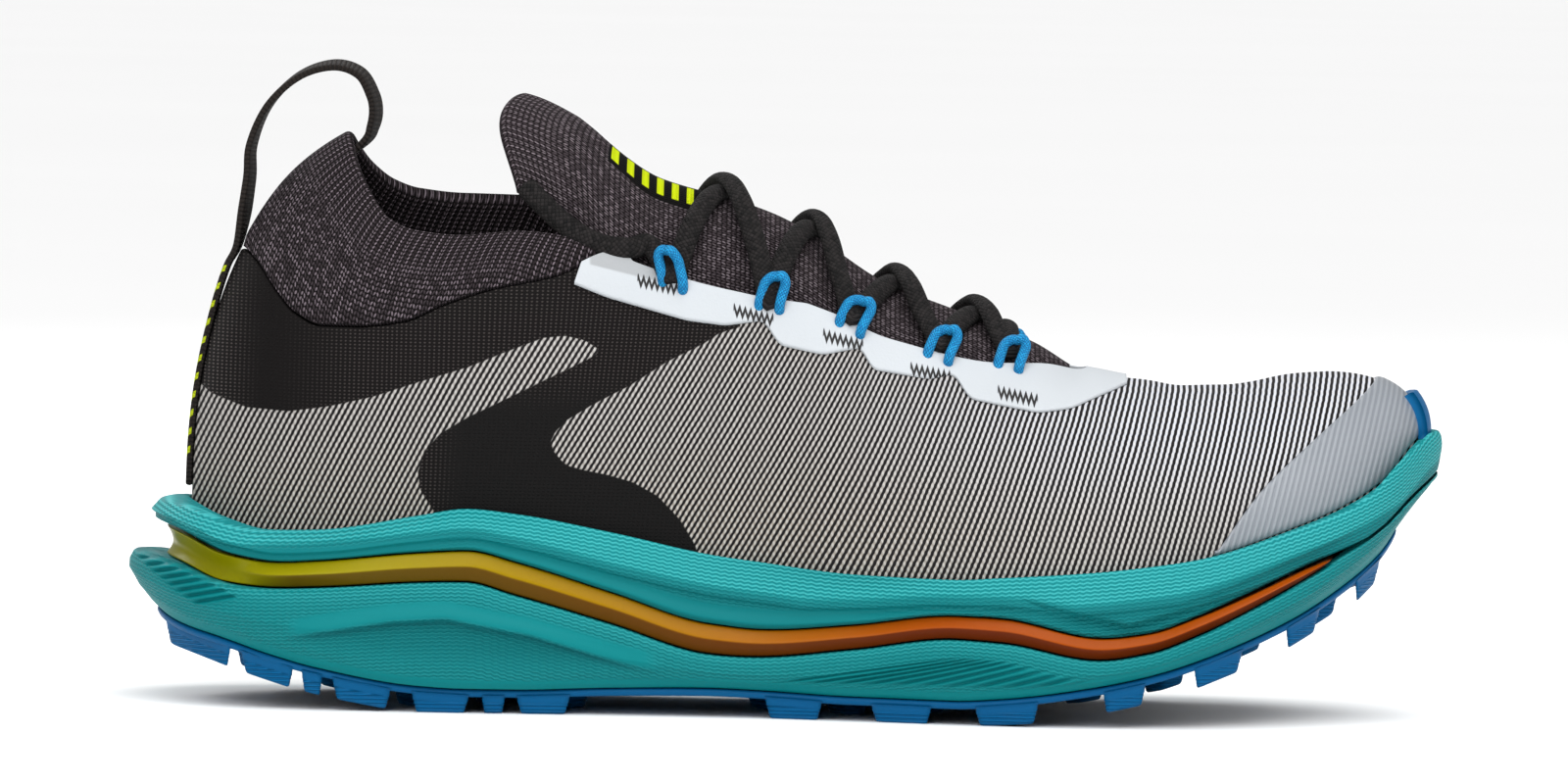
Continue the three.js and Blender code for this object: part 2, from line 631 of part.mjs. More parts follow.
const ridgeHeight = curve(LAST, 'ridge', LAST_HEIGHT);
const topPower = curve(LAST, 'top', 1);
const footPower = curve(LAST, 'foot', 1);
const collarLateral = curve(COLLAR, 'lateral', COLLAR_HEIGHT);
const collarMedial = curve(COLLAR, 'medial', COLLAR_HEIGHT);
const knitLine = curve(KNIT_LINE, 'height', COLLAR_HEIGHT);
const eyestayEdge = curve(EYESTAY_EDGE, 'height', LAST_HEIGHT);
const toeCapEdge = curve(TOE_CAP_EDGE, 'height', LAST_HEIGHT);

// Place on the ridge of the last that belongs to a place on its foot line
function spine(x) {
  if (x < SPINE_BACK) return SPINE_BACK - (SPINE_BACK - x) * SPINE_BACK_SHARE;
  if (x > SPINE_FRONT) return SPINE_FRONT + (x - SPINE_FRONT) * SPINE_FRONT_SHARE;
  return x;
}

// Turn round the shoe at which the foot line passes a place along the shoe, on the medial side
function turnAt(x) {
  let even = x;
  if (x < END_STRETCH) even = (END_STRETCH * (x - UPPER_HEEL)) / (END_STRETCH - UPPER_HEEL);
  const front = LENGTH - END_STRETCH;
  if (x > front) even = front + (END_STRETCH * (x - front)) / (UPPER_TOE - front);
  const share = clamp(even / LENGTH, 0, 1);
  const near = Math.min(share, 1 - share);
  const bend = END_SHARE / (2 * (1 - END_SHARE));
  const fromEnd =
    near < bend ? Math.sqrt(near * 2 * END_SHARE * (1 - END_SHARE)) : near * (1 - END_SHARE) + END_SHARE / 2;
  return (share > 0.5 ? 1 - fromEnd : fromEnd) / 2;
}

// Point of the last's skin: a turn round the shoe, a rise from the foot line (0) to the ridge (1),
// and a distance out of the skin
function lastPoint(turn, rise, out = 0) {
  const [footX, footY] = planPoint(turn, { ...upperPlan, inset: -out });
  const [x] = planPoint(turn, upperPlan);
  const ridgeX = spine(x);
  const angle = rise * Math.PI * 0.5;
  const across = rise >= 1 ? 1 : 1 - Math.cos(angle) ** (2 / topPower(ridgeX));
  const up = rise >= 1 ? 1 : Math.sin(angle) ** (2 / footPower(ridgeX));
  return [
    mix(footX, ridgeX, across),
    mix(footY, soleSide(ridgeX), across),
    mix(rimTop(x), ridgeHeight(ridgeX) + out, up),
  ];
}

// Half width of the throat: it opens behind THROAT_BACK and closes in a round front
function throatHalf(x) {
  const forward = clamp((x - THROAT_BACK) / (THROAT_FRONT - THROAT_BACK), 0, 1);
  const opening = ease((x - THROAT_BACK + THROAT_LEAD) / THROAT_EASE);
  return THROAT_HALF * opening * Math.sqrt(1 - forward ** THROAT_BEND);
}

function isOpen([x, y, z], medial) {
  const edge = medial ? collarMedial(x) : collarLateral(x);
  return z >= edge || Math.abs(y - soleSide(x)) < throatHalf(x);
}

// First rise at which a test of the skin's point comes true, or 1 where it never does
function riseTo(turn, test) {
  const steps = 48;
  const passes = (rise) => test(lastPoint(turn, rise), turn < 0.5);
  for (let i = 1; i <= steps; i += 1) {
    if (!passes(i / steps)) continue;
    let [low, high] = [(i - 1) / steps, i / steps];
    for (let k = 0; k < 16; k += 1) {
      const middle = (low + high) / 2;
      if (passes(middle)) high = middle;
      else low = middle;
    }
    return high > 0.9995 ? 1 : high;
  }
  return 1;
}

const openRise = (turn) => riseTo(turn, isOpen);
const knitRise = (turn, shift) => riseTo(turn, ([x, , z]) => z >= knitLine(x) + shift);
const shellRise = (turn) => Math.min(openRise(turn), knitRise(turn, -GAP / 2));

// Cells over columns of turns and rows of rises. A column that reaches the ridge shares its top
// corner with the column of the same place on the other side.
function cellsOver(columns, rows, closedRing) {
  const last = columns.length - 1;
  const key = (c, r) => {
    const column = c % columns.length;
    const opposite = (closedRing ? columns.length : last) - column;
    const onRidge = r === rows && columns[column].high >= 1;
    return onRidge ? `ridge ${Math.min(column, opposite)}` : `${column} ${r}`;
  };
  const count = closedRing ? columns.length : last;
  return Array.from({ length: count * rows }, (_, n) => {
    const [c, r] = [Math.floor(n / rows), n % rows];
    return [key(c, r), key(c + 1, r), key(c + 1, r + 1), key(c, r + 1)];
  });
}

// A sheet on the last between two rises in each column, with its two faces at given distances
function skinSheet(columns, rows, outer, inner, { closedRing = false, skirt } = {}) {
  const steps = skirt ? rows + 1 : rows;
  const cells = cellsOver(columns, steps, closedRing);
  const pointAt = (out) => (key) => {
    const [first, second] = key.split(' ');
    const onRidge = first === 'ridge';
    const column = columns[onRidge ? Number(second) : Number(first)];
    const row = onRidge ? steps : Number(second);
    if (skirt && row === 0) {
      const [x, y] = lastPoint(column.turn, 0, out);
      return [x, y, skirt(planPoint(column.turn, upperPlan)[0])];
    }
    const share = skirt ? (row - 1) / rows : row / rows;
    return lastPoint(column.turn, mix(column.low, column.high, share), out);
  };
  return sheet(cells, pointAt(outer), pointAt(inner));
}

const THROAT_TURNS = [0.29, 0.355]; // closer sections round the front of the throat

function upperShell() {
  const turns = Array.from({ length: ROUND_STEPS }, (_, i) => i / ROUND_STEPS).flatMap((turn) => {
    const half = Math.min(turn, 1 - turn);
    const between = turn < 0.5 ? half : half - 1 / ROUND_STEPS;
    const fine = between > THROAT_TURNS[0] && between < THROAT_TURNS[1];
    return fine ? [turn, turn + 0.5 / ROUND_STEPS] : [turn];
  });
  const columns = turns.map((turn) => ({ turn, low: 0, high: shellRise(turn) }));
  return skinSheet(columns, 6, 0, -WALL, { closedRing: true, skirt: (x) => footbed(x) + GAP });
}

function knitCollar() {
  const quarter = Math.ceil(ROUND_STEPS / 4);
  const columns = Array.from({ length: 2 * quarter + 1 }, (_, i) => {
    const turn = (ROUND_STEPS - quarter + i) / ROUND_STEPS % 1;
    return { turn, low: knitRise(turn, GAP / 2), high: openRise(turn) };
  });
  const tall = ({ turn, low, high }) => lastPoint(turn, high)[2] - lastPoint(turn, low)[2];
  const kept = columns.filter((column) => tall(column) > KNIT_LEAST);
  return skinSheet(kept, 5, KNIT_PROUD, KNIT_PROUD - KNIT_WALL);
}

function eyestay() {
  const start = turnAt(EYESTAY_BACK * LENGTH);
  const stop = turnAt(EYESTAY_FRONT * LENGTH);
  const steps = 25;
  const half = (side) =>
    Array.from({ length: steps + 1 }, (_, i) => {
      const place = mix(start, stop, i / steps);
      const turn = side > 0 ? place : 1 - place;
      const high = shellRise(turn);
      const low = riseTo(turn, ([x, , z]) => z >= eyestayEdge(x));
      return { turn, low: Math.min(low, high - EYESTAY_LEAST), high };
    });
  const rows = 3;
  const key = (side, c, r, column) => (r === rows && column.high >= 1 ? `0 ${c} ${r}` : `${side} ${c} ${r}`);
  const sides = { '-1': half(-1), 1: half(1) };
  const cells = [-1, 1].flatMap((side) =>
    Array.from({ length: steps * rows }, (_, n) => {
      const [c, r] = [Math.floor(n / rows), n % rows];
      const [a, b] = [sides[side][c], sides[side][c + 1]];
      const loop = [
        key(side, c, r, a),
        key(side, c + 1, r, b),
        key(side, c + 1, r + 1, b),
        key(side, c, r + 1, a),
      ];
      return side > 0 ? loop : loop.reverse();
    }),
  );
  const pointAt = (out) => (name) => {
    const [side, c, r] = name.split(' ').map(Number);
    const column = sides[side || 1][c];
    return lastPoint(column.turn, mix(column.low, column.high, r / rows), out);
  };
  return sheet(cells, pointAt(OVERLAY_GAP + OVERLAY), pointAt(OVERLAY_GAP));
}

// A band round the toe from just over the rim up to a line
function toeBand(back, topTest, steps, rows, outer, inner) {
  const start = turnAt(back * LENGTH);
  const columns = Array.from({ length: steps + 1 }, (_, i) => {
    const turn = mix(start, 1 - start, i / steps);
    const [x] = planPoint(turn, upperPlan);
    const low = riseTo(turn, ([, , z]) => z >= rimTop(x) + GAP * 2);
    return { turn, low, high: Math.max(low + 0.05, riseTo(turn, topTest)) };
  });
  return skinSheet(columns, rows, outer, inner);
}

function toeCap() {
  const underEdge = ([x, , z]) => z >= toeCapEdge(x);
  return toeBand(TOE_CAP_BACK, underEdge, 24, 4, OVERLAY_GAP + OVERLAY, OVERLAY_GAP);
}

function toeBumper() {
  const inner = OVERLAY_GAP * 2 + OVERLAY;
  const lowest = rimTop(BUMPER_BACK * LENGTH) + BUMPER_LEAST;
  const across = (y, x) => clamp(Math.abs(y - soleSide(x)) / (upperHalf(x) * BUMPER_SPREAD), 0, 1);
  const top = mix(rimTop(UPPER_TOE), ridgeHeight(spine(UPPER_TOE)), BUMPER_TOP);
  const test = ([x, y, z]) => z >= mix(top, lowest, across(y, x) ** 2);
  return toeBand(BUMPER_BACK, test, 10, 2, inner + BUMPER_THICKNESS, inner);
}

// Height of the last's skin over a place in plan, found by following its leaning sections
function skinHeight(x, y, out = 0) {
  const medial = y > soleSide(x);
  let foot = x;
  let across = 0;
  for (let k = 0; k < 14; k += 1) {
    const turn = medial ? turnAt(foot) : 1 - turnAt(foot);
    const [footX, footY] = planPoint(turn, { ...upperPlan, inset: -out });
    const ridgeX = spine(foot);
    across = clamp((footY - y) / (footY - soleSide(ridgeX)), 0, 1);
    foot += x - mix(footX, ridgeX, across);
  }
  const ridgeX = spine(foot);
  const cosine = (1 - across) ** (topPower(ridgeX) / 2);
  const up = Math.sqrt(1 - cosine * cosine) ** (2 / footPower(ridgeX));
  return mix(rimTop(foot), ridgeHeight(ridgeX) + out, up);
}

// The tongue

const CROWN = 5; // rounding of the ridge under the laces
const TONGUE_FRONT = THROAT_FRONT - 4;
const TONGUE_HALF = 20; // at its tip
const TONGUE_TUCK = 4.5; // how far its sides reach under the shell
const TONGUE_CLEAR = WALL + GAP * 4.5;
const TONGUE_SIDE = [
  { along: 0.29, half: 0.93, side: 1.04 },
  { along: 0.335, half: 0.93, side: 0.99 },
  { along: 0.375, half: 0.97, side: 0.93 },
  { along: 0.42, half: 1.1, side: 0.88 },
];
const tongueHalfBack = curve(TONGUE_SIDE, 'half', TONGUE_HALF);
const tongueSideHeight = curve(TONGUE_SIDE, 'side', COLLAR_HEIGHT);

const TONGUE_JOIN = THROAT_BACK - 4; // ahead of this the tongue follows the last
const TONGUE_BLEND = 8; // length over which it comes to do so
const TONGUE_LEAST_HALF = 10;

function tongueHalf(x) {
  const ahead = Math.max(throatHalf(x), TONGUE_LEAST_HALF) + TONGUE_TUCK;
  return mix(tongueHalfBack(x), ahead, ease((x - TONGUE_JOIN) / 14));
}

// Outer face of the tongue over a place in plan: an arch at its tip, the last's skin under the laces
function tonguePoint(x, swing) {
  const half = tongueHalf(x);
  const axis = soleSide(x);
  const y = half * Math.sin(swing);
  const tip = TONGUE_TIP_HEIGHT - ridgeHeight(TONGUE_TIP);
  const top = ridgeHeight(x) + tip * ease((THROAT_BACK - x) / (THROAT_BACK - TONGUE_TIP));
  const arch = mix(tongueSideHeight(x), top, Math.abs(Math.cos(swing)) ** 0.9);
  if (x < TONGUE_JOIN - TONGUE_BLEND) return [x, axis + y, arch];
  const bent = Math.sign(y || 1) * Math.hypot(y, CROWN);
  const under = skinHeight(x, axis + bent, -TONGUE_CLEAR);
  const flush = ease((throatHalf(x) - Math.abs(y)) / 7) * TONGUE_CLEAR;
  const follow = ease((x - TONGUE_JOIN + TONGUE_BLEND) / (2.5 * TONGUE_BLEND));
  return [x, axis + y, mix(arch, under + flush, follow)];
}

function tongue() {
  const along = 16;
  const across = 10;
  const place = (c, r) => {
    const x = mix(TONGUE_TIP, TONGUE_FRONT, c / along);
    return new THREE.Vector3(...tonguePoint(x, mix(-1.45, 1.45, r / across)));
  };
  const cells = Array.from({ length: along * across }, (_, n) => {
    const [c, r] = [Math.floor(n / across), n % across];
    return [`${c} ${r}`, `${c + 1} ${r}`, `${c + 1} ${r + 1}`, `${c} ${r + 1}`];
  });
  const outer = (name) => place(...name.split(' ').map(Number)).toArray();
  const inner = (name) => {
    const [c, r] = name.split(' ').map(Number);
    const lengthwise = place(c + 0.2, r).sub(place(c - 0.2, r));
    const crosswise = place(c, Math.min(r + 0.4, across)).sub(place(c, Math.max(r - 0.4, 0)));
    const normal = lengthwise.cross(crosswise).normalize();
    return place(c, r).addScaledVector(normal, -TONGUE_THICKNESS).toArray();
  };
  return sheet(cells, outer, inner);
}

// The heel strap and its pull loop

const PULL_LOOP = [
  { along: 0.0865, height: 0.872 },
  { along: 0.088, height: 0.933 },
  { along: 0.1005, height: 1.0 },
  { along: 0.1235, height: 1.05 },
  { along: 0.1495, height: 1.069 },
  { along: 0.1695, height: 1.056 },
  { along: 0.1795, height: 1.02 },
  { along: 0.182, height: 0.992 },
  { along: 0.18, height: 0.966 },
  { along: 0.1745, height: 0.942 },
];
const STRAP_FOOT = 2; // the strap starts this far over the rim
const STRAP_LEAVES = 0.945; // height where the loop leaves the heel, share of COLLAR_HEIGHT
const STRAP_TUCK = [0.9, 0.88, 0.86]; // rises of the strap's end inside the collar

function strapPath() {
  const out = KNIT_PROUD + GAP;
  const rises = [STRAP_FOOT + rimTop(UPPER_HEEL), STRAP_LEAVES * COLLAR_HEIGHT].map((height) =>
    riseTo(0, ([, , z]) => z >= height),
  );
  const steps = 8;
  const along = Array.from({ length: steps + 1 }, (_, i) =>
    lastPoint(0, mix(...rises, i / steps), out),
  );
  const loop = PULL_LOOP.map((row) => [row.along * LENGTH, 0, row.height * LAST_HEIGHT]);
  const inside = STRAP_TUCK.map((share) => {
    const rise = share * openRise(0);
    return lastPoint(0, rise, KNIT_PROUD - KNIT_WALL - GAP * 4 - STRAP_THICKNESS);
  });
  const line = new THREE.CatmullRomCurve3(
    [...along, ...loop, ...inside].map(([x, , z]) => new THREE.Vector3(x, 0, z)),
    false,
    'centripetal',
  );
  return line;
}

function heelStrap() {
  const line = strapPath();
  const steps = 36;
  const cells = Array.from({ length: steps }, (_, c) => [`${c} 0`, `${c + 1} 0`, `${c + 1} 1`, `${c} 1`]);
  const pointAt = (lift) => (name) => {
    const [c, r] = name.split(' ').map(Number);
    const point = line.getPointAt(c / steps);
    const tangent = line.getTangentAt(c / steps);
    const normal = new THREE.Vector3(-tangent.z, 0, tangent.x);
    point.addScaledVector(normal, lift);
    return [point.x, soleSide(UPPER_HEEL) + (r - 0.5) * STRAP_WIDTH, point.z];
  };
  return sheet(cells, pointAt(STRAP_THICKNESS), pointAt(0));
}

// Laces and their eyelet loops

const LACE_SIDES = 6;
const CORD_SIDES = 5;
const LACE_ROWS = [0.4104, 0.4841, 0.5444, 0.6114, 0.665].map((share) => share * LENGTH);
const LOOP_REACH = 8; // from the edge of the eyestay to the tip of a loop
const LOOP_LEG = 5; // leg of a loop on the eyestay

// Point over the closed skin of the last, lifted straight out of it
function overSkin(x, y, lift) {
  const height = (px, py) => {
    const offset = py - soleSide(px);
    return skinHeight(px, soleSide(px) + Math.sign(offset || 1) * Math.hypot(offset, CROWN));
  };
  const step = 0.5;
  const slopeX = (height(x + step, y) - height(x - step, y)) / (2 * step);
  const slopeY = (height(x, y + step) - height(x, y - step)) / (2 * step);
  const normal = new THREE.Vector3(-slopeX, -slopeY, 1).normalize();
  return new THREE.Vector3(x, y, height(x, y)).addScaledVector(normal, lift);
}

// A round cord along points
function cord(points, diameter, sides, steps) {
  const section = new THREE.Shape(
    Array.from({ length: sides }, (_, k) => {
      const angle = (k / sides) * 2 * Math.PI;
      return new THREE.Vector2(Math.cos(angle), Math.sin(angle)).multiplyScalar(diameter / 2);
    }),
  );
  const extrudePath = new THREE.CatmullRomCurve3(points, false, 'centripetal');
  return new THREE.ExtrudeGeometry(section, { extrudePath, steps });
}

// Distance across the shoe that goes with a length along the skin at the edge of the throat
function acrossFor(x, length) {
  const edge = throatHalf(x);
  const fall = skinHeight(x, soleSide(x) + edge - 1) - skinHeight(x, soleSide(x) + edge + 1);
  return length / Math.hypot(1, fall / 2);
}

// Distance of a loop's tip from the middle of the shoe
const loopTip = (x) => throatHalf(x) - acrossFor(x, LOOP_REACH);

// Cord eyelet: two legs on the eyestay and a round tip over the tongue
function laceLoop(x, side) {
  const lift = OVERLAY_GAP * 3 + OVERLAY + LOOP_CORD / 2;
  const half = (LOOP_WIDTH - LOOP_CORD) / 2;
  const bend = [0, 0.25, 0.5, 0.75, 1].map((k) => [-Math.cos(k * Math.PI), Math.sin(k * Math.PI)]);
  const plan = [
    [-half, -LOOP_LEG],
    [-half, 0],
    ...bend.map(([u, v]) => [u * half, LOOP_REACH - half - LOOP_CORD / 2 + v * half]),
    [half, 0],
    [half, -LOOP_LEG],
  ];
  const points = plan.map(([u, v]) =>
    overSkin(x + u, soleSide(x + u) + side * (throatHalf(x) - acrossFor(x, v)), lift),
  );
  return cord(points, LOOP_CORD, CORD_SIDES, 10);
}

// One lace arm from a loop on one side to a loop on the other, raised where it crosses
function laceArm(fromX, toX, fromSide, hump) {
  const lift = LACE_DIAMETER / 2 + GAP;
  const clear = LACE_DIAMETER / 2 + GAP * 2;
  const points = [0, 0.25, 0.5, 0.75, 1].map((share) => {
    const x = mix(fromX, toX, share);
    const from = fromSide * Math.max(loopTip(fromX) - clear, 1);
    const to = -fromSide * Math.max(loopTip(toX) - clear, 1);
    return overSkin(x, soleSide(x) + mix(from, to, share), lift + hump * Math.sin(share * Math.PI));
  });
  return cord(points, LACE_DIAMETER, LACE_SIDES, 5);
}

function laces() {
  const front = LACE_ROWS[LACE_ROWS.length - 1];
  const arms = [laceArm(front, front, 1, 0)];
  for (let row = 0; row < LACE_ROWS.length - 1; row += 1) {
    arms.push(laceArm(LACE_ROWS[row], LACE_ROWS[row + 1], 1, 0));
    arms.push(laceArm(LACE_ROWS[row], LACE_ROWS[row + 1], -1, LACE_DIAMETER * 0.7));
  }
  return joined(arms);
}

// Free end of the lace: from the top loop back beside the tongue, to where it is tucked in
const LACE_END_ROUTE = [
  { x: 116, swing: 0.7 },
  { x: 110, swing: 0.95 },
  { x: 104, swing: 1.2 },
  { x: 98, swing: 1.34 },
  { x: 92, swing: 1.4 },
];

function laceEnd(side) {
  const points = LACE_END_ROUTE.map((place) => {
    const { x } = place;
    const swing = place.swing * side;
    const here = new THREE.Vector3(...tonguePoint(x, swing));
    const ahead = new THREE.Vector3(...tonguePoint(x + 0.5, swing)).sub(here);
    const up = new THREE.Vector3(...tonguePoint(x, swing + 0.02)).sub(here);
    const normal = ahead.cross(up).normalize();
    return here.addScaledVector(normal, LACE_DIAMETER / 2 + GAP * 1.5);
  });
  return cord(points, LACE_DIAMETER, LACE_SIDES, 10);
}

// The shoe

const shoe = new THREE.Group();

function place(name, geometry, color, roughness, metalness = 0) {
  const material = new THREE.MeshStandardMaterial({ color, roughness, metalness });
  const mesh = new THREE.Mesh(geometry, material);
  mesh.name = name;
  shoe.add(mesh);
}

const COLORS = {
  rubber: 0x1f6fc4,
  foam: 0x1fb3b0,
  band: 0xd9861a,
  woven: 0x9a9c9e,
  knit: 0x3d3839,
  overlay: 0xf0f2f4,
  film: 0x8f9498,
  webbing: 0x1a1a1b,
  lace: 0x141414,
  loop: 0x1d86d8,
  lining: 0x2a2a2c,
};

place('midsole_top', midsoleTop(), COLORS.foam, 0.7);
place('midsole_band', midsoleBand(), COLORS.band, 0.35);
place('midsole_bottom', midsoleBottom(), COLORS.foam, 0.7);
place('outsole', outsole(), COLORS.rubber, 0.55);
place('insole', insole(), COLORS.lining, 0.9);
place('upper', upperShell(), COLORS.woven, 0.8);
place('knit_collar', knitCollar(), COLORS.knit, 0.95);
place('tongue', tongue(), COLORS.knit, 0.95);
place('eyestay', eyestay(), COLORS.overlay, 0.6);
place('toe_cap', toeCap(), COLORS.film, 0.4);
place('toe_bumper', toeBumper(), COLORS.rubber, 0.55);
place('heel_strap', heelStrap(), COLORS.webbing, 0.8);
place('laces', laces(), COLORS.lace, 0.9);
place('lace_end_lateral', laceEnd(-1), COLORS.lace, 0.9);
place('lace_end_medial', laceEnd(1), COLORS.lace, 0.9);
LACE_ROWS.forEach((x, row) => {
  place(`lace_loop_lateral_${row + 1}`, laceLoop(x, -1), COLORS.loop, 0.7);
  place(`lace_loop_medial_${row + 1}`, laceLoop(x, 1), COLORS.loop, 0.7);
});

// The origin lies on the ground under the middle of the shoe
const box = new THREE.Box3().setFromObject(shoe);
const middle = box.getCenter(new THREE.Vector3());
shoe.position.set(-middle.x, -middle.y, -box.min.z);

export default shoe;
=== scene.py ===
"""Trail running shoe: the looks of every piece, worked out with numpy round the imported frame.

Shapes are made in millimetres along the shoe: x from the back of the heel to the toe, y to the
inner side, z up. The function to_frame turns them into metres in the frame.
"""

import math

import bpy
import numpy as np
from bpy.props import FloatProperty, FloatVectorProperty, PointerProperty
from bpy.types import Operator, Panel, PropertyGroup
from mathutils import Matrix, Vector


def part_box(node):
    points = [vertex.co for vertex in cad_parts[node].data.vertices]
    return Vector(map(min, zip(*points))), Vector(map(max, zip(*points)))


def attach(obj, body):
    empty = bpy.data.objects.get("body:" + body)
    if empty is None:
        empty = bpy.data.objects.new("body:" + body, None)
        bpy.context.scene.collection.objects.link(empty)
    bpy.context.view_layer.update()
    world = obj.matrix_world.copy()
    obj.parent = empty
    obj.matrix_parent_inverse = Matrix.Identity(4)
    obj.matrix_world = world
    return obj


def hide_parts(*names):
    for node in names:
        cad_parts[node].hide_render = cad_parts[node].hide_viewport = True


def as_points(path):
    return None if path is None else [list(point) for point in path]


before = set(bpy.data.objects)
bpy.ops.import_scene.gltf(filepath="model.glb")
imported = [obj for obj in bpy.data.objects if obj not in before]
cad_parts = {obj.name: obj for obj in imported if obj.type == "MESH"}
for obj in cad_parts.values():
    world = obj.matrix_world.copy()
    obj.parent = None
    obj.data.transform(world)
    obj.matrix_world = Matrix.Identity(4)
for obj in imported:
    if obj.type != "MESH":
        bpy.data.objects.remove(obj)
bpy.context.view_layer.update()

bl_info = {
    "name": "Trail running shoe",
    "version": (1, 0, 0),
    "blender": (4, 5, 0),
    "location": "View3D > Sidebar > Shoe",
    "description": "Builds the pieces of a trail running shoe round its frame",
    "category": "Add Mesh",
}

MM = 0.001

# Driving sizes in millimetres, as the frame has them
HEEL_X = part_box("midsole_bottom")[0].x / MM
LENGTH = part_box("midsole_top")[1].x / MM - HEEL_X
BALL_WIDTH = 112
SOLE_RISE = 50
BAND_HEIGHT = 6.6
RIM_LIP = 3.2
FOOTBED_DEPTH = 9
FOOTBED_BLEND = 3
INSOLE_THICKNESS = 4
RUBBER_BASE = 1.7
LUG_HEIGHT = 4.2
UPPER_BALL_WIDTH = 95
LAST_HEIGHT = 135
UPPER_HEEL = 14
UPPER_TOE = LENGTH - 5.5
WALL = 2.0
KNIT_WALL = 3.0
KNIT_PROUD = 0.5
COLLAR_HEIGHT = 109
THROAT_HALF = 21
THROAT_BACK = 0.3752 * LENGTH
THROAT_FRONT = 0.727 * LENGTH
TONGUE_THICKNESS = 3.2
TONGUE_TIP = 0.2915 * LENGTH
TONGUE_TIP_HEIGHT = 139
TONGUE_FRONT = THROAT_FRONT - 4
TONGUE_JOIN = THROAT_BACK - 4
OVERLAY = 0.9
OVERLAY_GAP = 0.5
STRAP_WIDTH = 10
STRAP_THICKNESS = 1.6
GAP = 0.3
BUMPER_BACK = 0.978 * LENGTH
BUMPER_TOP = 0.61
BUMPER_LEAST = 4
BUMPER_SPREAD = 0.72
BUMPER_THICKNESS = 1.6
LACE_ROWS = np.array([0.4104, 0.4841, 0.5444, 0.6114, 0.665]) * LENGTH
LOOP_REACH = 8

HEEL_ROUND = 0.17 * LENGTH
TOE_ROUND = 0.2 * LENGTH
ROUND_POWER = 2.15
END_STRETCH = 60
END_SHARE = 0.2
SPINE_BACK, SPINE_BACK_SHARE = 0.5126 * LENGTH, 0.561
SPINE_FRONT, SPINE_FRONT_SHARE = 0.794 * LENGTH, 0.62
THROAT_BEND = 5
CROWN = 5


def table(columns, *rows):
    """Rows of numbers as one array for each named column."""
    return dict(zip(columns.split(), np.array(rows, float).T))


# Plan of the sole and of the upper's foot line: shares of LENGTH, and of the widths at the ball
SOLE_PLAN = table(
    "along half side",
    (0.0, 0.388, 0.002),
    (0.1, 0.395, 0.0),
    (0.25, 0.397, -0.004),
    (0.38, 0.357, -0.018),
    (0.46, 0.348, -0.027),
    (0.55, 0.384, -0.027),
    (0.65, 0.464, -0.018),
    (0.72, 0.5, 0.0),
    (0.8, 0.5, 0.018),
    (0.88, 0.462, 0.042),
    (0.95, 0.4, 0.068),
    (1.0, 0.33, 0.088),
)
UPPER_PLAN = table(
    "along half",
    (0.0, 0.34),
    (0.1, 0.347),
    (0.25, 0.353),
    (0.38, 0.335),
    (0.46, 0.344),
    (0.55, 0.395),
    (0.65, 0.468),
    (0.72, 0.5),
    (0.8, 0.495),
    (0.88, 0.455),
    (0.95, 0.39),
    (1.0, 0.3),
)

# Side of the sole: shares of SOLE_RISE, and the band's height as a share of BAND_HEIGHT
SOLE_SIDE = table(
    "along rim band height foam",
    (0.0, 0.96, 0.76, 1.0, 0.5),
    (0.04, 0.932, 0.704, 0.97, 0.37),
    (0.077, 0.85, 0.624, 0.91, 0.31),
    (0.113, 0.8, 0.604, 0.85, 0.246),
    (0.15, 0.808, 0.616, 0.88, 0.192),
    (0.223, 0.882, 0.654, 0.97, 0.122),
    (0.26, 0.916, 0.664, 1.03, 0.112),
    (0.297, 0.896, 0.612, 1.09, 0.112),
    (0.37, 0.82, 0.484, 1.03, 0.126),
    (0.443, 0.732, 0.356, 1.0, 0.134),
    (0.48, 0.704, 0.34, 0.91, 0.128),
    (0.553, 0.66, 0.38, 0.8, 0.112),
    (0.627, 0.65, 0.438, 0.76, 0.11),
    (0.663, 0.664, 0.43, 0.79, 0.124),
    (0.737, 0.698, 0.356, 0.71, 0.188),
    (0.773, 0.724, 0.384, 0.64, 0.236),
    (0.81, 0.76, 0.464, 0.59, 0.306),
    (0.883, 0.9, 0.67, 0.36, 0.49),
    (0.92, 0.99, 0.785, 0.12, 0.622),
    (0.95, 1.096, 0.906, 0.09, 0.758),
    (0.973, 1.25, 1.036, 0.09, 0.92),
    (1.0, 1.37, 1.16, 0.09, 1.08),
)

# Sections of the last: ridge as a share of LAST_HEIGHT, and the powers that round top and foot
LAST = table(
    "along ridge top foot",
    (0.25, 1.0, 2.3, 2.3),
    (0.335, 0.972, 2.1, 2.3),
    (0.42, 0.893, 1.9, 2.2),
    (0.487, 0.855, 1.6, 2.15),
    (0.53, 0.817, 1.4, 2.1),
    (0.576, 0.765, 1.2, 2.0),
    (0.643, 0.686, 1.15, 1.9),
    (0.687, 0.637, 1.25, 1.9),
    (0.728, 0.58, 1.55, 2.0),
    (0.777, 0.563, 1.8, 2.1),
    (0.814, 0.556, 2.0, 2.2),
    (0.85, 0.563, 2.2, 2.3),
    (0.888, 0.579, 2.3, 2.3),
    (0.912, 0.583, 2.3, 2.3),
)

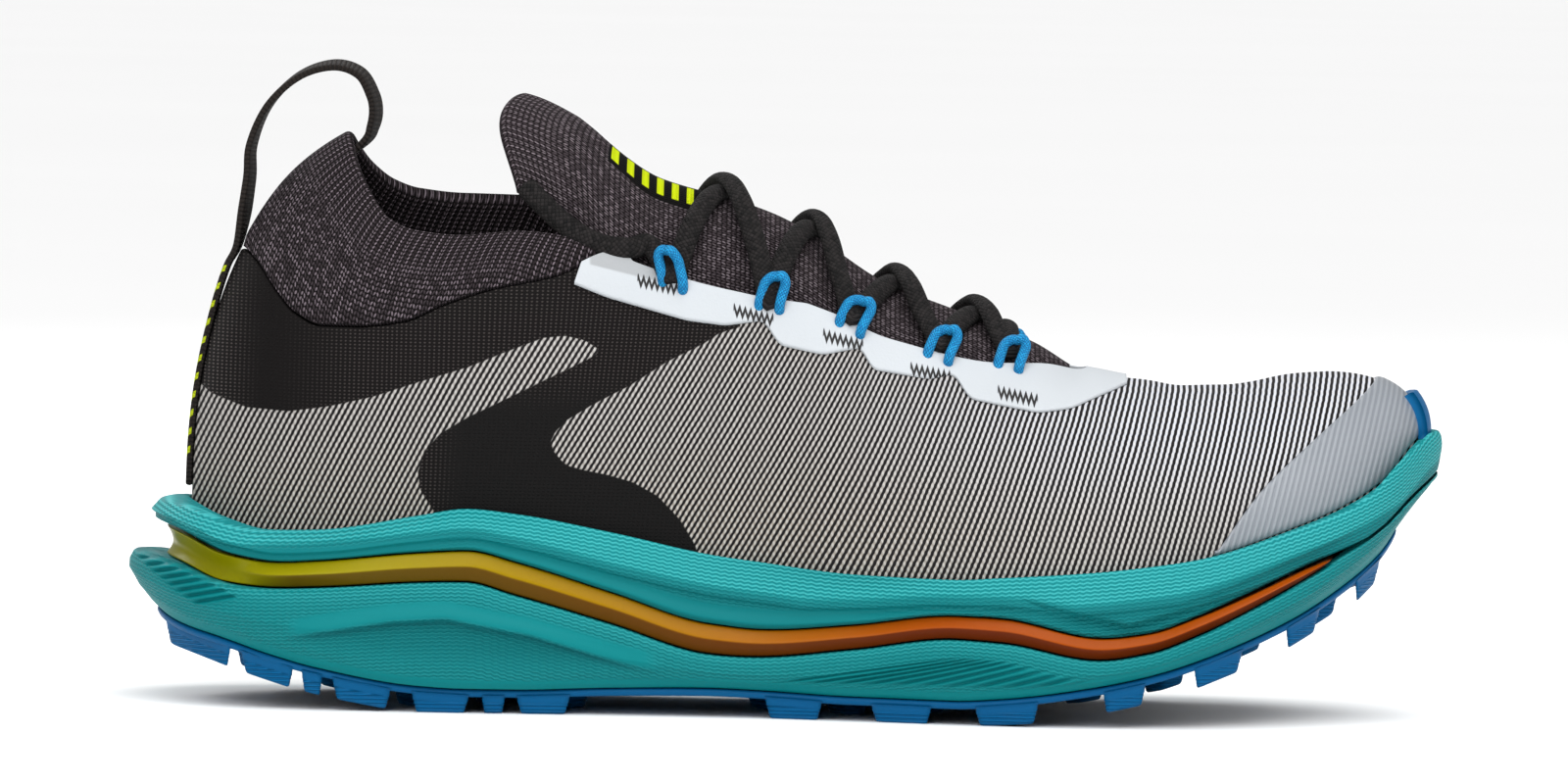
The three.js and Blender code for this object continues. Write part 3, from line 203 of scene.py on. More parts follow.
# Lines on the upper: shares of COLLAR_HEIGHT (collar and knit) or LAST_HEIGHT (the others)
COLLAR = table(
    "along lateral medial",
    (0.15, 1.2, 1.2),
    (0.162, 1.193, 1.193),
    (0.168, 1.147, 1.155),
    (0.178, 1.092, 1.11),
    (0.196, 1.03, 1.065),
    (0.215, 1.009, 1.045),
    (0.25, 1.0, 1.035),
    (0.295, 1.009, 1.035),
    (0.335, 0.986, 1.0),
    (0.375, 0.949, 0.955),
    (0.43, 0.9, 0.9),
)
KNIT_LINE = table(
    "along height",
    (0.06, 0.953),
    (0.084, 0.942),
    (0.095, 0.917),
    (0.111, 0.858),
    (0.125, 0.817),
    (0.146, 0.793),
    (0.172, 0.793),
    (0.21, 0.806),
    (0.238, 0.84),
    (0.275, 0.875),
    (0.323, 0.905),
    (0.36, 0.949),
    (0.39, 0.96),
)
TOE_CAP_EDGE = table(
    "along height",
    (0.818, 0.2745),
    (0.858, 0.3956),
    (0.9, 0.4804),
    (0.945, 0.565),
    (0.985, 0.67),
)
TONGUE_SIDE = table(
    "along half side",
    (0.29, 0.93, 1.04),
    (0.335, 0.93, 0.99),
    (0.375, 0.97, 0.93),
    (0.42, 1.1, 0.88),
)
TONGUE_HALF = 20
TONGUE_TUCK = 4.5
TONGUE_CLEAR = WALL + GAP * 4.5


def mix(a, b, t):
    return a + (b - a) * t


def ease(t):
    """0 below 0, 1 above 1, and 3t^2 - 2t^3 between them."""
    t = np.clip(t, 0, 1)
    return t * t * (3 - 2 * t)


def bell(x, middle, width):
    """exp of minus the squared distance from the middle, in widths."""
    return np.exp(-(((x - middle) / width) ** 2))


def curve(rows, column, unit):
    """A cubic through one column of a table, with no overshoot: each row's slope is the harmonic
    mean of the slopes beside it, and 0 at a turning point."""
    xs, ys = rows["along"] * LENGTH, rows[column] * unit
    slopes = np.diff(ys) / np.diff(xs)
    before, after = slopes[:-1], slopes[1:]
    both = np.where(before * after > 0, before + after, 1)
    inner = np.where(before * after > 0, 2 * before * after / both, 0)
    tangents = np.concatenate([slopes[:1], inner, slopes[-1:]])

    def at(x):
        x = np.clip(x, xs[0], xs[-1])
        i = np.clip(np.searchsorted(xs, x, side="right") - 1, 0, len(xs) - 2)
        span = xs[i + 1] - xs[i]
        t = (x - xs[i]) / span
        bend = (tangents[i] * (1 - t) - tangents[i + 1] * t) * t * (1 - t) * span
        return mix(ys[i], ys[i + 1], ease(t)) + bend

    return at


sole_half = curve(SOLE_PLAN, "half", BALL_WIDTH)
sole_side = curve(SOLE_PLAN, "side", BALL_WIDTH)
upper_half = curve(UPPER_PLAN, "half", UPPER_BALL_WIDTH)
rim_top = curve(SOLE_SIDE, "rim", SOLE_RISE)
band_middle = curve(SOLE_SIDE, "band", SOLE_RISE)
band_height = curve(SOLE_SIDE, "height", BAND_HEIGHT)
foam_bottom = curve(SOLE_SIDE, "foam", SOLE_RISE)
ridge_height = curve(LAST, "ridge", LAST_HEIGHT)
top_power = curve(LAST, "top", 1)
foot_power = curve(LAST, "foot", 1)
collar_lateral = curve(COLLAR, "lateral", COLLAR_HEIGHT)
collar_medial = curve(COLLAR, "medial", COLLAR_HEIGHT)
knit_line = curve(KNIT_LINE, "height", COLLAR_HEIGHT)
toe_cap_edge = curve(TOE_CAP_EDGE, "height", LAST_HEIGHT)
tongue_half_back = curve(TONGUE_SIDE, "half", TONGUE_HALF)
tongue_side_height = curve(TONGUE_SIDE, "side", COLLAR_HEIGHT)

strap_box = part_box("heel_strap")
SIDE_Y = (strap_box[0].y + strap_box[1].y) / 2 / MM - float(sole_side(UPPER_HEEL))


def to_frame(points):
    """Millimetres along the shoe to metres in the frame."""
    return (np.asarray(points, float) + [HEEL_X, SIDE_Y, 0]) * MM


def band_top(x):
    return band_middle(x) + band_height(x) / 2


def band_bottom(x):
    return band_middle(x) - band_height(x) / 2


def footbed(x):
    """The higher of two rules, blended: a depth below the rim, and 2 mm of foam over the band."""
    a, b = rim_top(x) - FOOTBED_DEPTH, band_top(x) + 2
    return (a + b + np.hypot(a - b, FOOTBED_BLEND)) / 2


def end_round(distance, stretch):
    """(1 - t^p)^(1/p) with t falling from 1 at an end to 0 at the end of the rounded stretch."""
    t = np.clip(1 - distance / stretch, 0, 1)
    return (1 - t**ROUND_POWER) ** (1 / ROUND_POWER)


def length_share(turn):
    """Share of the length at a turn round the shoe, with steps that shrink towards both ends."""
    t = np.where(turn > 0.5, 2 - turn * 2, turn * 2)
    end = np.minimum(t, 1 - t)
    near = np.where(
        end < END_SHARE,
        end * end / (2 * END_SHARE * (1 - END_SHARE)),
        (end - END_SHARE / 2) / (1 - END_SHARE),
    )
    return np.where(t > 0.5, 1 - near, near)


def station_x(turn, heel, toe):
    """Place along the shoe of a turn, stretched at each end to a plan's own heel and toe."""
    x = LENGTH * length_share(turn)
    front = LENGTH - END_STRETCH
    x = np.where(x < END_STRETCH, mix(heel, END_STRETCH, x / END_STRETCH), x)
    return np.where(x > front, mix(front, toe, (x - front) / END_STRETCH), x)


def plan_point(turn, half, heel, toe, inset=0.0, toe_round=TOE_ROUND):
    """x and y of a plan at a turn round the shoe: 0 at the heel, 0.5 at the toe, medial first."""
    turn = np.asarray(turn, float) % 1
    x = station_x(turn, heel + inset, toe - inset)
    ends = end_round(x - heel - inset, HEEL_ROUND) * end_round(toe - inset - x, toe_round)
    side = np.where((turn == 0) | (turn == 0.5), 0, np.sign(0.5 - turn))
    return x, sole_side(x) + side * (half(x) - inset) * ends


def spine(x):
    """Place on the ridge of the last that belongs to a place on its foot line."""
    back = SPINE_BACK - (SPINE_BACK - x) * SPINE_BACK_SHARE
    front = SPINE_FRONT + (x - SPINE_FRONT) * SPINE_FRONT_SHARE
    return np.where(x < SPINE_BACK, back, np.where(x > SPINE_FRONT, front, x))


def turn_at(x):
    """Turn on the medial side at which the upper's foot line passes x."""
    front = LENGTH - END_STRETCH
    even = np.where(x < END_STRETCH, END_STRETCH * (x - UPPER_HEEL) / (END_STRETCH - UPPER_HEEL), x)
    even = np.where(x > front, front + END_STRETCH * (x - front) / (UPPER_TOE - front), even)
    share = np.clip(even / LENGTH, 0, 1)
    near = np.minimum(share, 1 - share)
    bend = END_SHARE / (2 * (1 - END_SHARE))
    end = np.where(
        near < bend,
        np.sqrt(near * 2 * END_SHARE * (1 - END_SHARE)),
        near * (1 - END_SHARE) + END_SHARE / 2,
    )
    return np.where(share > 0.5, 1 - end, end) / 2


def last_point(turn, rise, out=0.0):
    """Point of the last's skin: a superellipse section from the foot line (rise 0) to the ridge
    (rise 1), at a distance out of the skin."""
    turn, rise, out = np.broadcast_arrays(np.asarray(turn, float), rise, out)
    foot_x, foot_y = plan_point(turn, upper_half, UPPER_HEEL, UPPER_TOE, -out)
    x, _ = plan_point(turn, upper_half, UPPER_HEEL, UPPER_TOE)
    ridge_x = spine(x)
    cosine = np.clip(np.cos(rise * math.pi / 2), 0, 1)
    sine = np.clip(np.sin(rise * math.pi / 2), 0, 1)
    across = np.where(rise >= 1, 1, 1 - cosine ** (2 / top_power(ridge_x)))
    up = np.where(rise >= 1, 1, sine ** (2 / foot_power(ridge_x)))
    return np.stack(
        [
            mix(foot_x, ridge_x, across),
            mix(foot_y, sole_side(ridge_x), across),
            mix(rim_top(x), ridge_height(ridge_x) + out, up),
        ],
        -1,
    )


def throat_half(x):
    """Half width of the throat: it eases open behind its back and has a superellipse front."""
    forward = np.clip((x - THROAT_BACK) / (THROAT_FRONT - THROAT_BACK), 0, 1)
    return THROAT_HALF * ease((x - THROAT_BACK + 14) / 16) * np.sqrt(1 - forward**THROAT_BEND)


def is_open(p, medial):
    edge = np.where(medial, collar_medial(p[..., 0]), collar_lateral(p[..., 0]))
    return (p[..., 2] >= edge) | (np.abs(p[..., 1] - sole_side(p[..., 0])) < throat_half(p[..., 0]))


def rise_to(turn, test):
    """First rise in each column at which a test comes true, by 48 steps and then by halving."""
    rises = np.arange(1, 49) / 48
    hit = test(last_point(turn[:, None], rises[None, :]), (turn < 0.5)[:, None])
    high = rises[hit.argmax(1)]
    low = high - 1 / 48
    for _ in range(16):
        middle = (low + high) / 2
        passes = test(last_point(turn, middle), turn < 0.5)
        high = np.where(passes, middle, high)
        low = np.where(passes, low, middle)
    return np.where(~hit.any(1) | (high > 0.9995), 1, high)


def open_rise(turn):
    return rise_to(turn, is_open)


def knit_rise(turn, shift):
    return rise_to(turn, lambda p, medial: p[..., 2] >= knit_line(p[..., 0]) + shift)


def shell_rise(turn):
    return np.minimum(open_rise(turn), knit_rise(turn, -GAP / 2))


def skin_height(x, y, out=0.0):
    """Height of the last's skin over a place in plan, by repeated correction of the foot place."""
    x, y, out = np.broadcast_arrays(np.asarray(x, float), y, out)
    medial = y > sole_side(x)
    foot = x.copy()
    for _ in range(14):
        turn = np.where(medial, turn_at(foot), 1 - turn_at(foot))
        foot_x, foot_y = plan_point(turn, upper_half, UPPER_HEEL, UPPER_TOE, -out)
        ridge_x = spine(foot)
        across = np.clip((foot_y - y) / (foot_y - sole_side(ridge_x)), 0, 1)
        foot = foot + x - mix(foot_x, ridge_x, across)
    ridge_x = spine(foot)
    cosine = (1 - across) ** (top_power(ridge_x) / 2)
    up = np.sqrt(1 - cosine * cosine) ** (2 / foot_power(ridge_x))
    return mix(rim_top(foot), ridge_height(ridge_x) + out, up)


def tongue_half(x):
    front = np.maximum(throat_half(x), 10) + TONGUE_TUCK
    return mix(tongue_half_back(x), front, ease((x - TONGUE_JOIN) / 14))


TONGUE_DIP = 3.4
TONGUE_SIDE_TUCK = 5.0


def crest_dip(x, y):
    """How far the tongue's crest sinks between the sides of the throat, ahead of the ankle."""
    return TONGUE_DIP * bell(x, 168, 17) * ease((throat_half(x) - np.abs(y)) / 10)


def tongue_point(x, swing):
    """Outer face of the tongue: an arch at its tip, the last's skin under the laces."""
    x, swing = np.broadcast_arrays(np.asarray(x, float), swing)
    axis = sole_side(x)
    y = tongue_half(x) * np.sin(swing)
    tip = TONGUE_TIP_HEIGHT - ridge_height(TONGUE_TIP)
    top = ridge_height(x) + tip * ease((THROAT_BACK - x) / (THROAT_BACK - TONGUE_TIP))
    arch = mix(tongue_side_height(x), top, np.abs(np.cos(swing)) ** 0.9)
    bent = np.where(y < 0, -1, 1) * np.hypot(y, CROWN)
    under = skin_height(np.maximum(x, TONGUE_JOIN - 8), axis + bent, -TONGUE_CLEAR)
    flush = ease((throat_half(x) - np.abs(y)) / 7) * TONGUE_CLEAR
    follow = ease((x - TONGUE_JOIN + 8) / 20)
    tuck = TONGUE_SIDE_TUCK * ease((np.abs(swing) - 1.05) / 0.4) * bell(x, 102, 9)
    height = mix(arch, under + flush, follow) - crest_dip(x, y) - tuck
    return np.stack([x, axis + y, height], -1)


def over_skin(x, y, lift):
    """Point over the closed skin of the last, lifted along its normal."""

    def height(px, py):
        offset = py - sole_side(px)
        bent = np.where(offset < 0, -1, 1) * np.hypot(offset, CROWN)
        return skin_height(px, sole_side(px) + bent) - crest_dip(px, offset)

    x, y = np.asarray(x, float), np.asarray(y, float)
    slope_x = height(x + 0.5, y) - height(x - 0.5, y)
    slope_y = height(x, y + 0.5) - height(x, y - 0.5)
    normal = np.stack([-slope_x, -slope_y, np.ones_like(x)], -1)
    normal /= np.linalg.norm(normal, axis=-1, keepdims=True)
    point = np.stack([x, y, height(x, y)], -1)
    return point + normal * np.asarray(lift)[..., None], normal


def across_for(x, length):
    """Distance across the shoe that goes with a length along the skin at the throat's edge."""
    middle, edge = sole_side(x), throat_half(x)
    fall = skin_height(x, middle + edge - 1) - skin_height(x, middle + edge + 1)
    return length / np.hypot(1, fall / 2)


# Meshes from arrays


def unit(vectors):
    """Each vector divided by its length."""
    return vectors / np.maximum(np.linalg.norm(vectors, axis=-1, keepdims=True), 1e-9)


def net_faces(rows, columns, wrap_rows=False, wrap_columns=False):
    """Corner numbers of a net's quads, and the numbers of their texture places, which have one
    more row or column where the net closes on itself."""
    r = np.arange(rows if wrap_rows else rows - 1)[:, None]
    c = np.arange(columns if wrap_columns else columns - 1)[None, :]
    corners, places = [], []
    wide = columns + 1 if wrap_columns else columns
    for dr, dc in ((0, 0), (0, 1), (1, 1), (1, 0)):
        corners.append(((r + dr) % rows) * columns + (c + dc) % columns)
        places.append((r + dr) * wide + (c + dc))
    return (
        np.stack([k.ravel() for k in corners], -1),
        np.stack([k.ravel() for k in places], -1),
    )


def ladder(base, count, turned):
    """Quads that close a ring of points by rungs from each point to the one across the ring."""
    i = np.arange(1, count // 2 - 1)
    quads = np.stack([base + i, base + i + 1, base + count - i - 1, base + count - i], -1)
    half = count // 2
    ends = np.array(
        [
            [base, base + 1, base + count - 1, base + count - 1],
            [base + half - 1, base + half, base + half + 1, base + half + 1],
        ]
    )
    faces = np.concatenate([quads, ends])
    return faces if turned else faces[:, ::-1][:, [1, 2, 3, 0]]


def signed_volume(points, faces):
    """Six times the volume inside, from the triple product of each face's corners."""
    a, b, c, d = (points[faces[:, k]] for k in range(4))
    return np.sum(a * np.cross(b, c)) + np.sum(a * np.cross(c, d))


def make_mesh(name, points, faces, places=None, uv=None, masks=None, closed=True):
    """Mesh object from points in millimetres and quads; a quad with two like corners is made a
    triangle. uv holds texture places in millimetres, masks hold named values for each point."""
    points = np.asarray(points, float).reshape(-1, 3)
    if closed and signed_volume(points, faces) < 0:
        faces = faces[:, ::-1]
        places = places[:, ::-1] if places is not None else None
    same = faces == np.roll(faces, 1, 1)
    kept = ~same
    counts = kept.sum(1)
    sound = counts >= 3
    faces, kept, counts = faces[sound], kept[sound], counts[sound]
    mesh = bpy.data.meshes.new(name)
    mesh.vertices.add(len(points))
    mesh.vertices.foreach_set("co", to_frame(points).astype(np.float32).ravel())
    mesh.loops.add(int(counts.sum()))
    mesh.loops.foreach_set("vertex_index", faces[kept].astype(np.int32))
    mesh.polygons.add(len(faces))
    starts = np.concatenate([[0], np.cumsum(counts)[:-1]])
    mesh.polygons.foreach_set("loop_start", starts.astype(np.int32))
    mesh.update(calc_edges=True)
    if uv is not None:
        corners = faces[kept] if places is None else places[sound][kept]
        layer = mesh.uv_layers.new(name="fabric")
        layer.data.foreach_set("uv", np.asarray(uv, np.float32).reshape(-1, 2)[corners].ravel())
    for label, values in (masks or {}).items():
        layer = mesh.attributes.new(label, "FLOAT", "POINT")
        layer.data.foreach_set("value", np.asarray(values, np.float32).ravel())
    mesh.polygons.foreach_set("use_smooth", np.ones(len(faces), bool))
    mesh.validate()
    piece = bpy.data.objects.new(name, mesh)
    bpy.context.scene.collection.objects.link(piece)
    return piece


def stack_mesh(name, rings, uv=None, masks=None):
    """Closed solid through rings of points (levels, count, 3), closed by ladders at both ends."""
    levels, count = rings.shape[:2]
    faces, places = net_faces(levels, count, wrap_columns=True)
    caps = np.concatenate([ladder(0, count, True), ladder((levels - 1) * count, count, False)])
    cap_places = caps + caps // count
    if uv is None:
        places, cap_places = faces, caps
        uv = rings[..., :2]
    return make_mesh(
        name,
        rings,
        np.concatenate([faces, caps]),
        np.concatenate([places, cap_places]),
        uv,
        masks,
    )


def ring_lengths(ring):
    """Running length round a closed ring of points, with the whole length as one more value."""
    steps = np.linalg.norm(np.roll(ring, -1, 0) - ring, axis=-1)
    return np.concatenate([[0], np.cumsum(steps)])


def stack_uv(rings):
    """Texture places: u runs round the widest ring, v is the running length over the rings at
    the side of the shoe, both in millimetres."""
    levels, count = rings.shape[:2]
    middle = rings[levels // 2]
    u = ring_lengths(middle)
    side = rings[:, count // 4]
    v = np.concatenate([[0], np.cumsum(np.linalg.norm(np.diff(side, axis=0), axis=-1))])
    return np.stack(np.broadcast_arrays(u[None, :], v[:, None]), -1)


def smooth_line(points, count, closed=False):
    """Points evenly spaced by length on a Catmull-Rom curve through the given ones."""
    p = np.asarray(points, float)
    padded = (
        np.concatenate([p[-1:], p, p[:2]])
        if closed
        else np.concatenate([2 * p[:1] - p[1:2], p, 2 * p[-1:] - p[-2:-1]])
    )
    t = np.linspace(0, 1, 16, endpoint=False)[:, None]
    a, b, c, d = (padded[k : len(padded) - 3 + k][:, None, :] for k in range(4))
    line = 0.5 * (
        2 * b + (c - a) * t + (2 * a - 5 * b + 4 * c - d) * t**2 + (3 * b - a - 3 * c + d) * t**3
    )
    line = line.reshape(-1, p.shape[1])
    line = np.concatenate([line, p[:1] if closed else p[-1:]])
    length = np.concatenate([[0], np.cumsum(np.linalg.norm(np.diff(line, axis=0), axis=-1))])
    at = np.linspace(0, length[-1], count, endpoint=not closed)
    return np.stack([np.interp(at, length, line[:, k]) for k in range(p.shape[1])], -1)


def sweep(name, path, up, wide, thick, sides=16, square=1.0):
    """Cord along a path: a superellipse in the plane of the path's own side and up directions
    (square 1 for an ellipse, less for squarer), drawn in at each end as a round end."""
    ahead = unit(np.gradient(path, axis=0))
    side = unit(np.cross(ahead, up))
    top = np.cross(side, ahead)
    length = np.concatenate([[0], np.cumsum(np.linalg.norm(np.diff(path, axis=0), axis=-1))])
    reach = thick / 2
    end = np.minimum(length, length[-1] - length) / reach
    share = np.sqrt(np.clip(1 - (1 - np.clip(end, 0, 1)) ** 2, 0.02, 1))[:, None, None]
    angle = np.linspace(0, 2 * math.pi, sides, endpoint=False)[None, :, None]
    across, over = (np.sign(k) * np.abs(k) ** square for k in (np.cos(angle), np.sin(angle)))
    rings = path[:, None] + share * (
        side[:, None] * across * wide / 2 + top[:, None] * over * thick / 2
    )
    u = np.linspace(0, 1, sides + 1)[None, :] * math.pi * (wide + thick) / 2
    uv = np.stack(np.broadcast_arrays(u, length[:, None]), -1)
    return stack_mesh(name, rings, uv)


def signed_distance(points, outline):
    """Distance from each (x, z) to a closed outline, negative outside it and positive inside."""
    a, b = outline, np.roll(outline, -1, 0)
    px, pz = points[..., 0, None], points[..., 1, None]
    dx, dz = b[:, 0] - a[:, 0], b[:, 1] - a[:, 1]
    t = np.clip(((px - a[:, 0]) * dx + (pz - a[:, 1]) * dz) / (dx * dx + dz * dz), 0, 1)
    gap = np.hypot(px - a[:, 0] - t * dx, pz - a[:, 1] - t * dz).min(-1)
    above = (a[:, 1] > pz) != (b[:, 1] > pz)
    drop = np.where(dz == 0, 1, dz)
    crossing = above & (px < a[:, 0] + (pz - a[:, 1]) * dx / drop)
    return np.where(crossing.sum(-1) % 2 == 1, gap, -gap)


def put(piece, slot, *nodes):
    """The piece rides on the shoe and stands for its CAD nodes, and is named after the first of
    them. Its slot is not used."""
    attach(piece, "root")
    if nodes:
        piece.name = nodes[0] + "_look"
        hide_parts(*nodes)
    return piece


# Shader helpers


def srgb(*values):
    """Screen colour in 0 to 255 to the linear values that shaders take."""
    v = np.array(values, float) / 255
    linear = np.where(v <= 0.04045, v / 12.92, ((v + 0.055) / 1.055) ** 2.4)
    return (*map(float, linear), 1.0)


class Net:
    """A node tree with short calls: each call makes a node, sets or links its inputs, and gives
    back the node, whose first output is linked on."""

    def __init__(self, tree):
        self.tree = tree

    def add(self, kind, *inputs, **settings):
        node = self.tree.nodes.new(kind)
        named = settings.pop("named", {})
        for key, value in settings.items():
            setattr(node, key, value)
        for key, value in [*enumerate(inputs), *named.items()]:
            self.feed(node.inputs[key], value)
        return node

    def feed(self, socket, value):
        if value is None:
            return
        if isinstance(value, bpy.types.NodeSocket):
            self.tree.links.new(value, socket)
        elif isinstance(value, bpy.types.Node):
            self.tree.links.new(value.outputs[0], socket)
        else:
            socket.default_value = value

    def times(self, a, b, clamp=False):
        return self.math("MULTIPLY", a, b, clamp=clamp)

    def times_plus(self, a, b, c):
        return self.math("MULTIPLY_ADD", a, b, c)

    def plus(self, a, b):
        return self.math("ADD", a, b)

    def minus(self, a, b):
        return self.math("SUBTRACT", a, b)

    def over(self, a, b):
        return self.math("DIVIDE", a, b)

    def wave(self, a, top):
        """Rises from 0 to the top and falls back, again and again."""
        return self.math("PINGPONG", a, top)

    def size(self, a):
        return self.math("ABSOLUTE", a)

    def fabric(self):
        return self.add("ShaderNodeUVMap", uv_map="fabric")

    def math(self, operation, a, b=None, c=None, clamp=False):
        return self.add("ShaderNodeMath", a, b, c, operation=operation, use_clamp=clamp)

    def step(self, value, low, high):
        """Smooth step of a value from 0 at low to 1 at high."""
        node = self.add("ShaderNodeMapRange", interpolation_type="SMOOTHSTEP")
        for name, fed in (("Value", value), ("From Min", low), ("From Max", high)):
            self.feed(node.inputs[name], fed)
        return node

    def colour(self, share, a, b, blend="MIX"):
        node = self.add("ShaderNodeMix", data_type="RGBA", blend_type=blend)
        self.feed(node.inputs[0], share)
        self.feed(node.inputs[6], a)
        self.feed(node.inputs[7], b)
        return node.outputs[2]

    def attribute(self, name):
        return self.add("ShaderNodeAttribute", attribute_name=name).outputs["Fac"]

    def uv(self):
        """Texture place in millimetres, as three separate values."""
        node = self.add("ShaderNodeUVMap", uv_map="fabric")
        return self.add("ShaderNodeSeparateXYZ", node)

    def noise(self, vector, scale, detail=2.0, rough=0.5):
        return self.add(
            "ShaderNodeTexNoise",
            named={"Vector": vector, "Scale": scale, "Detail": detail, "Roughness": rough},
        )

    def object_place(self):
        return self.add("ShaderNodeTexCoord").outputs["Object"]

    def bump(self, height, distance, strength=1.0, under=None):
        node = self.add("ShaderNodeBump")
        node.inputs["Strength"].default_value = strength
        node.inputs["Distance"].default_value = distance
        self.feed(node.inputs["Height"], height)
        self.feed(node.inputs["Normal"], under)
        return node

    def group(self, group, **inputs):
        node = self.add("ShaderNodeGroup", node_tree=group)
        for key, value in inputs.items():
            self.feed(node.inputs[key.replace("_", " ")], value)
        return node


def new_group(name, inputs, outputs):
    """Node group with named float inputs (name: default) and outputs, and its two end nodes."""
    group = bpy.data.node_groups.new(name, "ShaderNodeTree")
    for label, default in inputs.items():
        kind = "NodeSocketVector" if default is None else "NodeSocketFloat"
        socket = group.interface.new_socket(label, in_out="INPUT", socket_type=kind)
        if default is not None:
            socket.default_value = default
    for label in outputs:
        group.interface.new_socket(label, in_out="OUTPUT", socket_type="NodeSocketFloat")
    net = Net(group)
    return group, net, net.add("NodeGroupInput"), net.add("NodeGroupOutput")


def shared(name, build):
    """A node group that is built once and then found by its name."""
    return bpy.data.node_groups.get(name) or build(name)


def yarn_group(name):
    """Knitted stitches: in each wale, slanted strokes from both sides meet in a V. Height is the
    round section of a stroke, Fleck picks single strokes at random."""
    group, net, ins, outs = new_group(
        name, {"Place": None, "Wale": 1.6, "Course": 1.1, "Slant": 0.8}, ("Height", "Fleck", "Groove")
    )
    place = net.add("ShaderNodeSeparateXYZ", ins.outputs["Place"])
    across = net.over(place.outputs[0], ins.outputs["Wale"])
    inside = net.minus(net.math("FRACT", across), 0.5)
    off = net.size(inside)
    along = net.over(place.outputs[1], ins.outputs["Course"])
    shifted = net.minus(along, net.times(off, ins.outputs["Slant"]))
    stroke = net.minus(net.math("FRACT", shifted), 0.5)
    round_stroke = net.minus(1.0, net.times(net.size(stroke), 2.0))
    aside = net.minus(net.times(off, 4.0), 1.0)
    side = net.minus(1.0, net.size(aside))
    height = net.math("POWER", net.times(round_stroke, side, clamp=True), 0.6)
    cell = net.add(
        "ShaderNodeCombineXYZ",
        net.math("FLOOR", net.times(across, 2.0)),
        net.math("FLOOR", shifted),
    )
    fleck = net.add("ShaderNodeTexWhiteNoise", cell, noise_dimensions="2D")
    net.feed(outs.inputs["Height"], height)
    net.feed(outs.inputs["Fleck"], fleck)
    net.feed(outs.inputs["Groove"], side)
    return group


def zigzag_group(name):
    """Fine zigzag lines: the height's phase is moved up and down by a triangle wave along the
    line. Line and Wave are the spacing of the lines and the length of a zigzag."""
    group, net, ins, outs = new_group(
        name, {"Place": None, "Line": 1.25, "Wave": 2.3, "Swing": 0.3}, ("Height",)
    )
    place = net.add("ShaderNodeSeparateXYZ", ins.outputs["Place"])
    wander = net.noise(ins.outputs["Place"], 0.12, 1.0)
    u = net.plus(place.outputs[0], net.times(wander, 1.6))
    wave = net.wave(net.over(u, ins.outputs["Wave"]), 0.5)
    lift = net.times(net.times(wave, 2.0), ins.outputs["Swing"])
    phase = net.plus(net.over(place.outputs[1], ins.outputs["Line"]), lift)
    line = net.wave(phase, 0.5)
    net.feed(outs.inputs["Height"], net.step(line, 0.05, 0.45))
    return group


def grain_group(name):
    """Fine even grain with broad, faint tone changes, on Object coordinates."""
    group, net, ins, outs = new_group(name, {"Scale": 900.0}, ("Grain", "Tone"))
    place = net.object_place()
    fine = net.noise(place, ins.outputs["Scale"], 3.0, 0.6)
    broad = net.noise(place, 26.0, 2.0)
    net.feed(outs.inputs["Grain"], fine)
    net.feed(outs.inputs["Tone"], broad)
    return group


def braid_group(name):
    """Braided yarn: two sets of diagonal strands cross on the surface, and the higher one shows."""
    group, net, ins, outs = new_group(name, {"Place": None, "Strand": 1.1}, ("Height", "Fleck"))
    place = net.add("ShaderNodeSeparateXYZ", ins.outputs["Place"])
    u, v = (net.over(place.outputs[k], ins.outputs["Strand"]) for k in (0, 1))
    one, two = net.plus(u, v), net.minus(u, v)
    a, b = (net.math("SINE", net.times(k, math.pi)) for k in (one, two))
    height = net.size(net.times(a, b))
    cell = net.add("ShaderNodeCombineXYZ", net.math("FLOOR", one), net.math("FLOOR", two))
    fleck = net.add("ShaderNodeTexWhiteNoise", cell, noise_dimensions="2D")
    net.feed(outs.inputs["Height"], net.math("POWER", height, 0.5))
    net.feed(outs.inputs["Fleck"], fleck)
    return group


def material(name, roughness=0.6, **constants):
    """New material with a Principled BSDF whose constant values are set on its own sockets."""
    made = bpy.data.materials.new(name)
    made.use_nodes = True
    net = Net(made.node_tree)
    made.node_tree.nodes.clear()
    shader = net.add("ShaderNodeBsdfPrincipled")
    shader.inputs["Roughness"].default_value = roughness
    for key, value in constants.items():
        shader.inputs[key.replace("_", " ")].default_value = value
    net.add("ShaderNodeOutputMaterial", shader)
    return made, net, shader


def dress(piece, *materials):
    """Materials in the order of the piece's slots."""
    for each in materials:
        piece.data.materials.append(each)
    return piece


# Sizes and colours that a user would change


def colour_property(name, description, *values):
    return FloatVectorProperty(
        name=name, description=description, subtype="COLOR", size=4, min=0, max=1,
        default=srgb(*values),
    )


def size_property(name, description, millimetres):
    return FloatProperty(
        name=name, description=description, unit="LENGTH", precision=4, min=0,
        default=millimetres * MM,
    )


class ShoeSizes(PropertyGroup):
    """Sizes of the fine parts of the shoe"""

    lace_width: size_property("Lace width", "Width of the flat braided lace", 5.0)
    lace_thickness: size_property("Lace thickness", "Thickness of the lace", 3.2)
    loop_cord: size_property("Eyelet cord", "Diameter of the cord eyelets", 2.35)
    stripe_pitch: size_property("Stripe pitch", "From one light stripe to the next", 1.34)
    foam_line: size_property("Foam line", "Spacing of the fine lines in the foam's skin", 0.85)


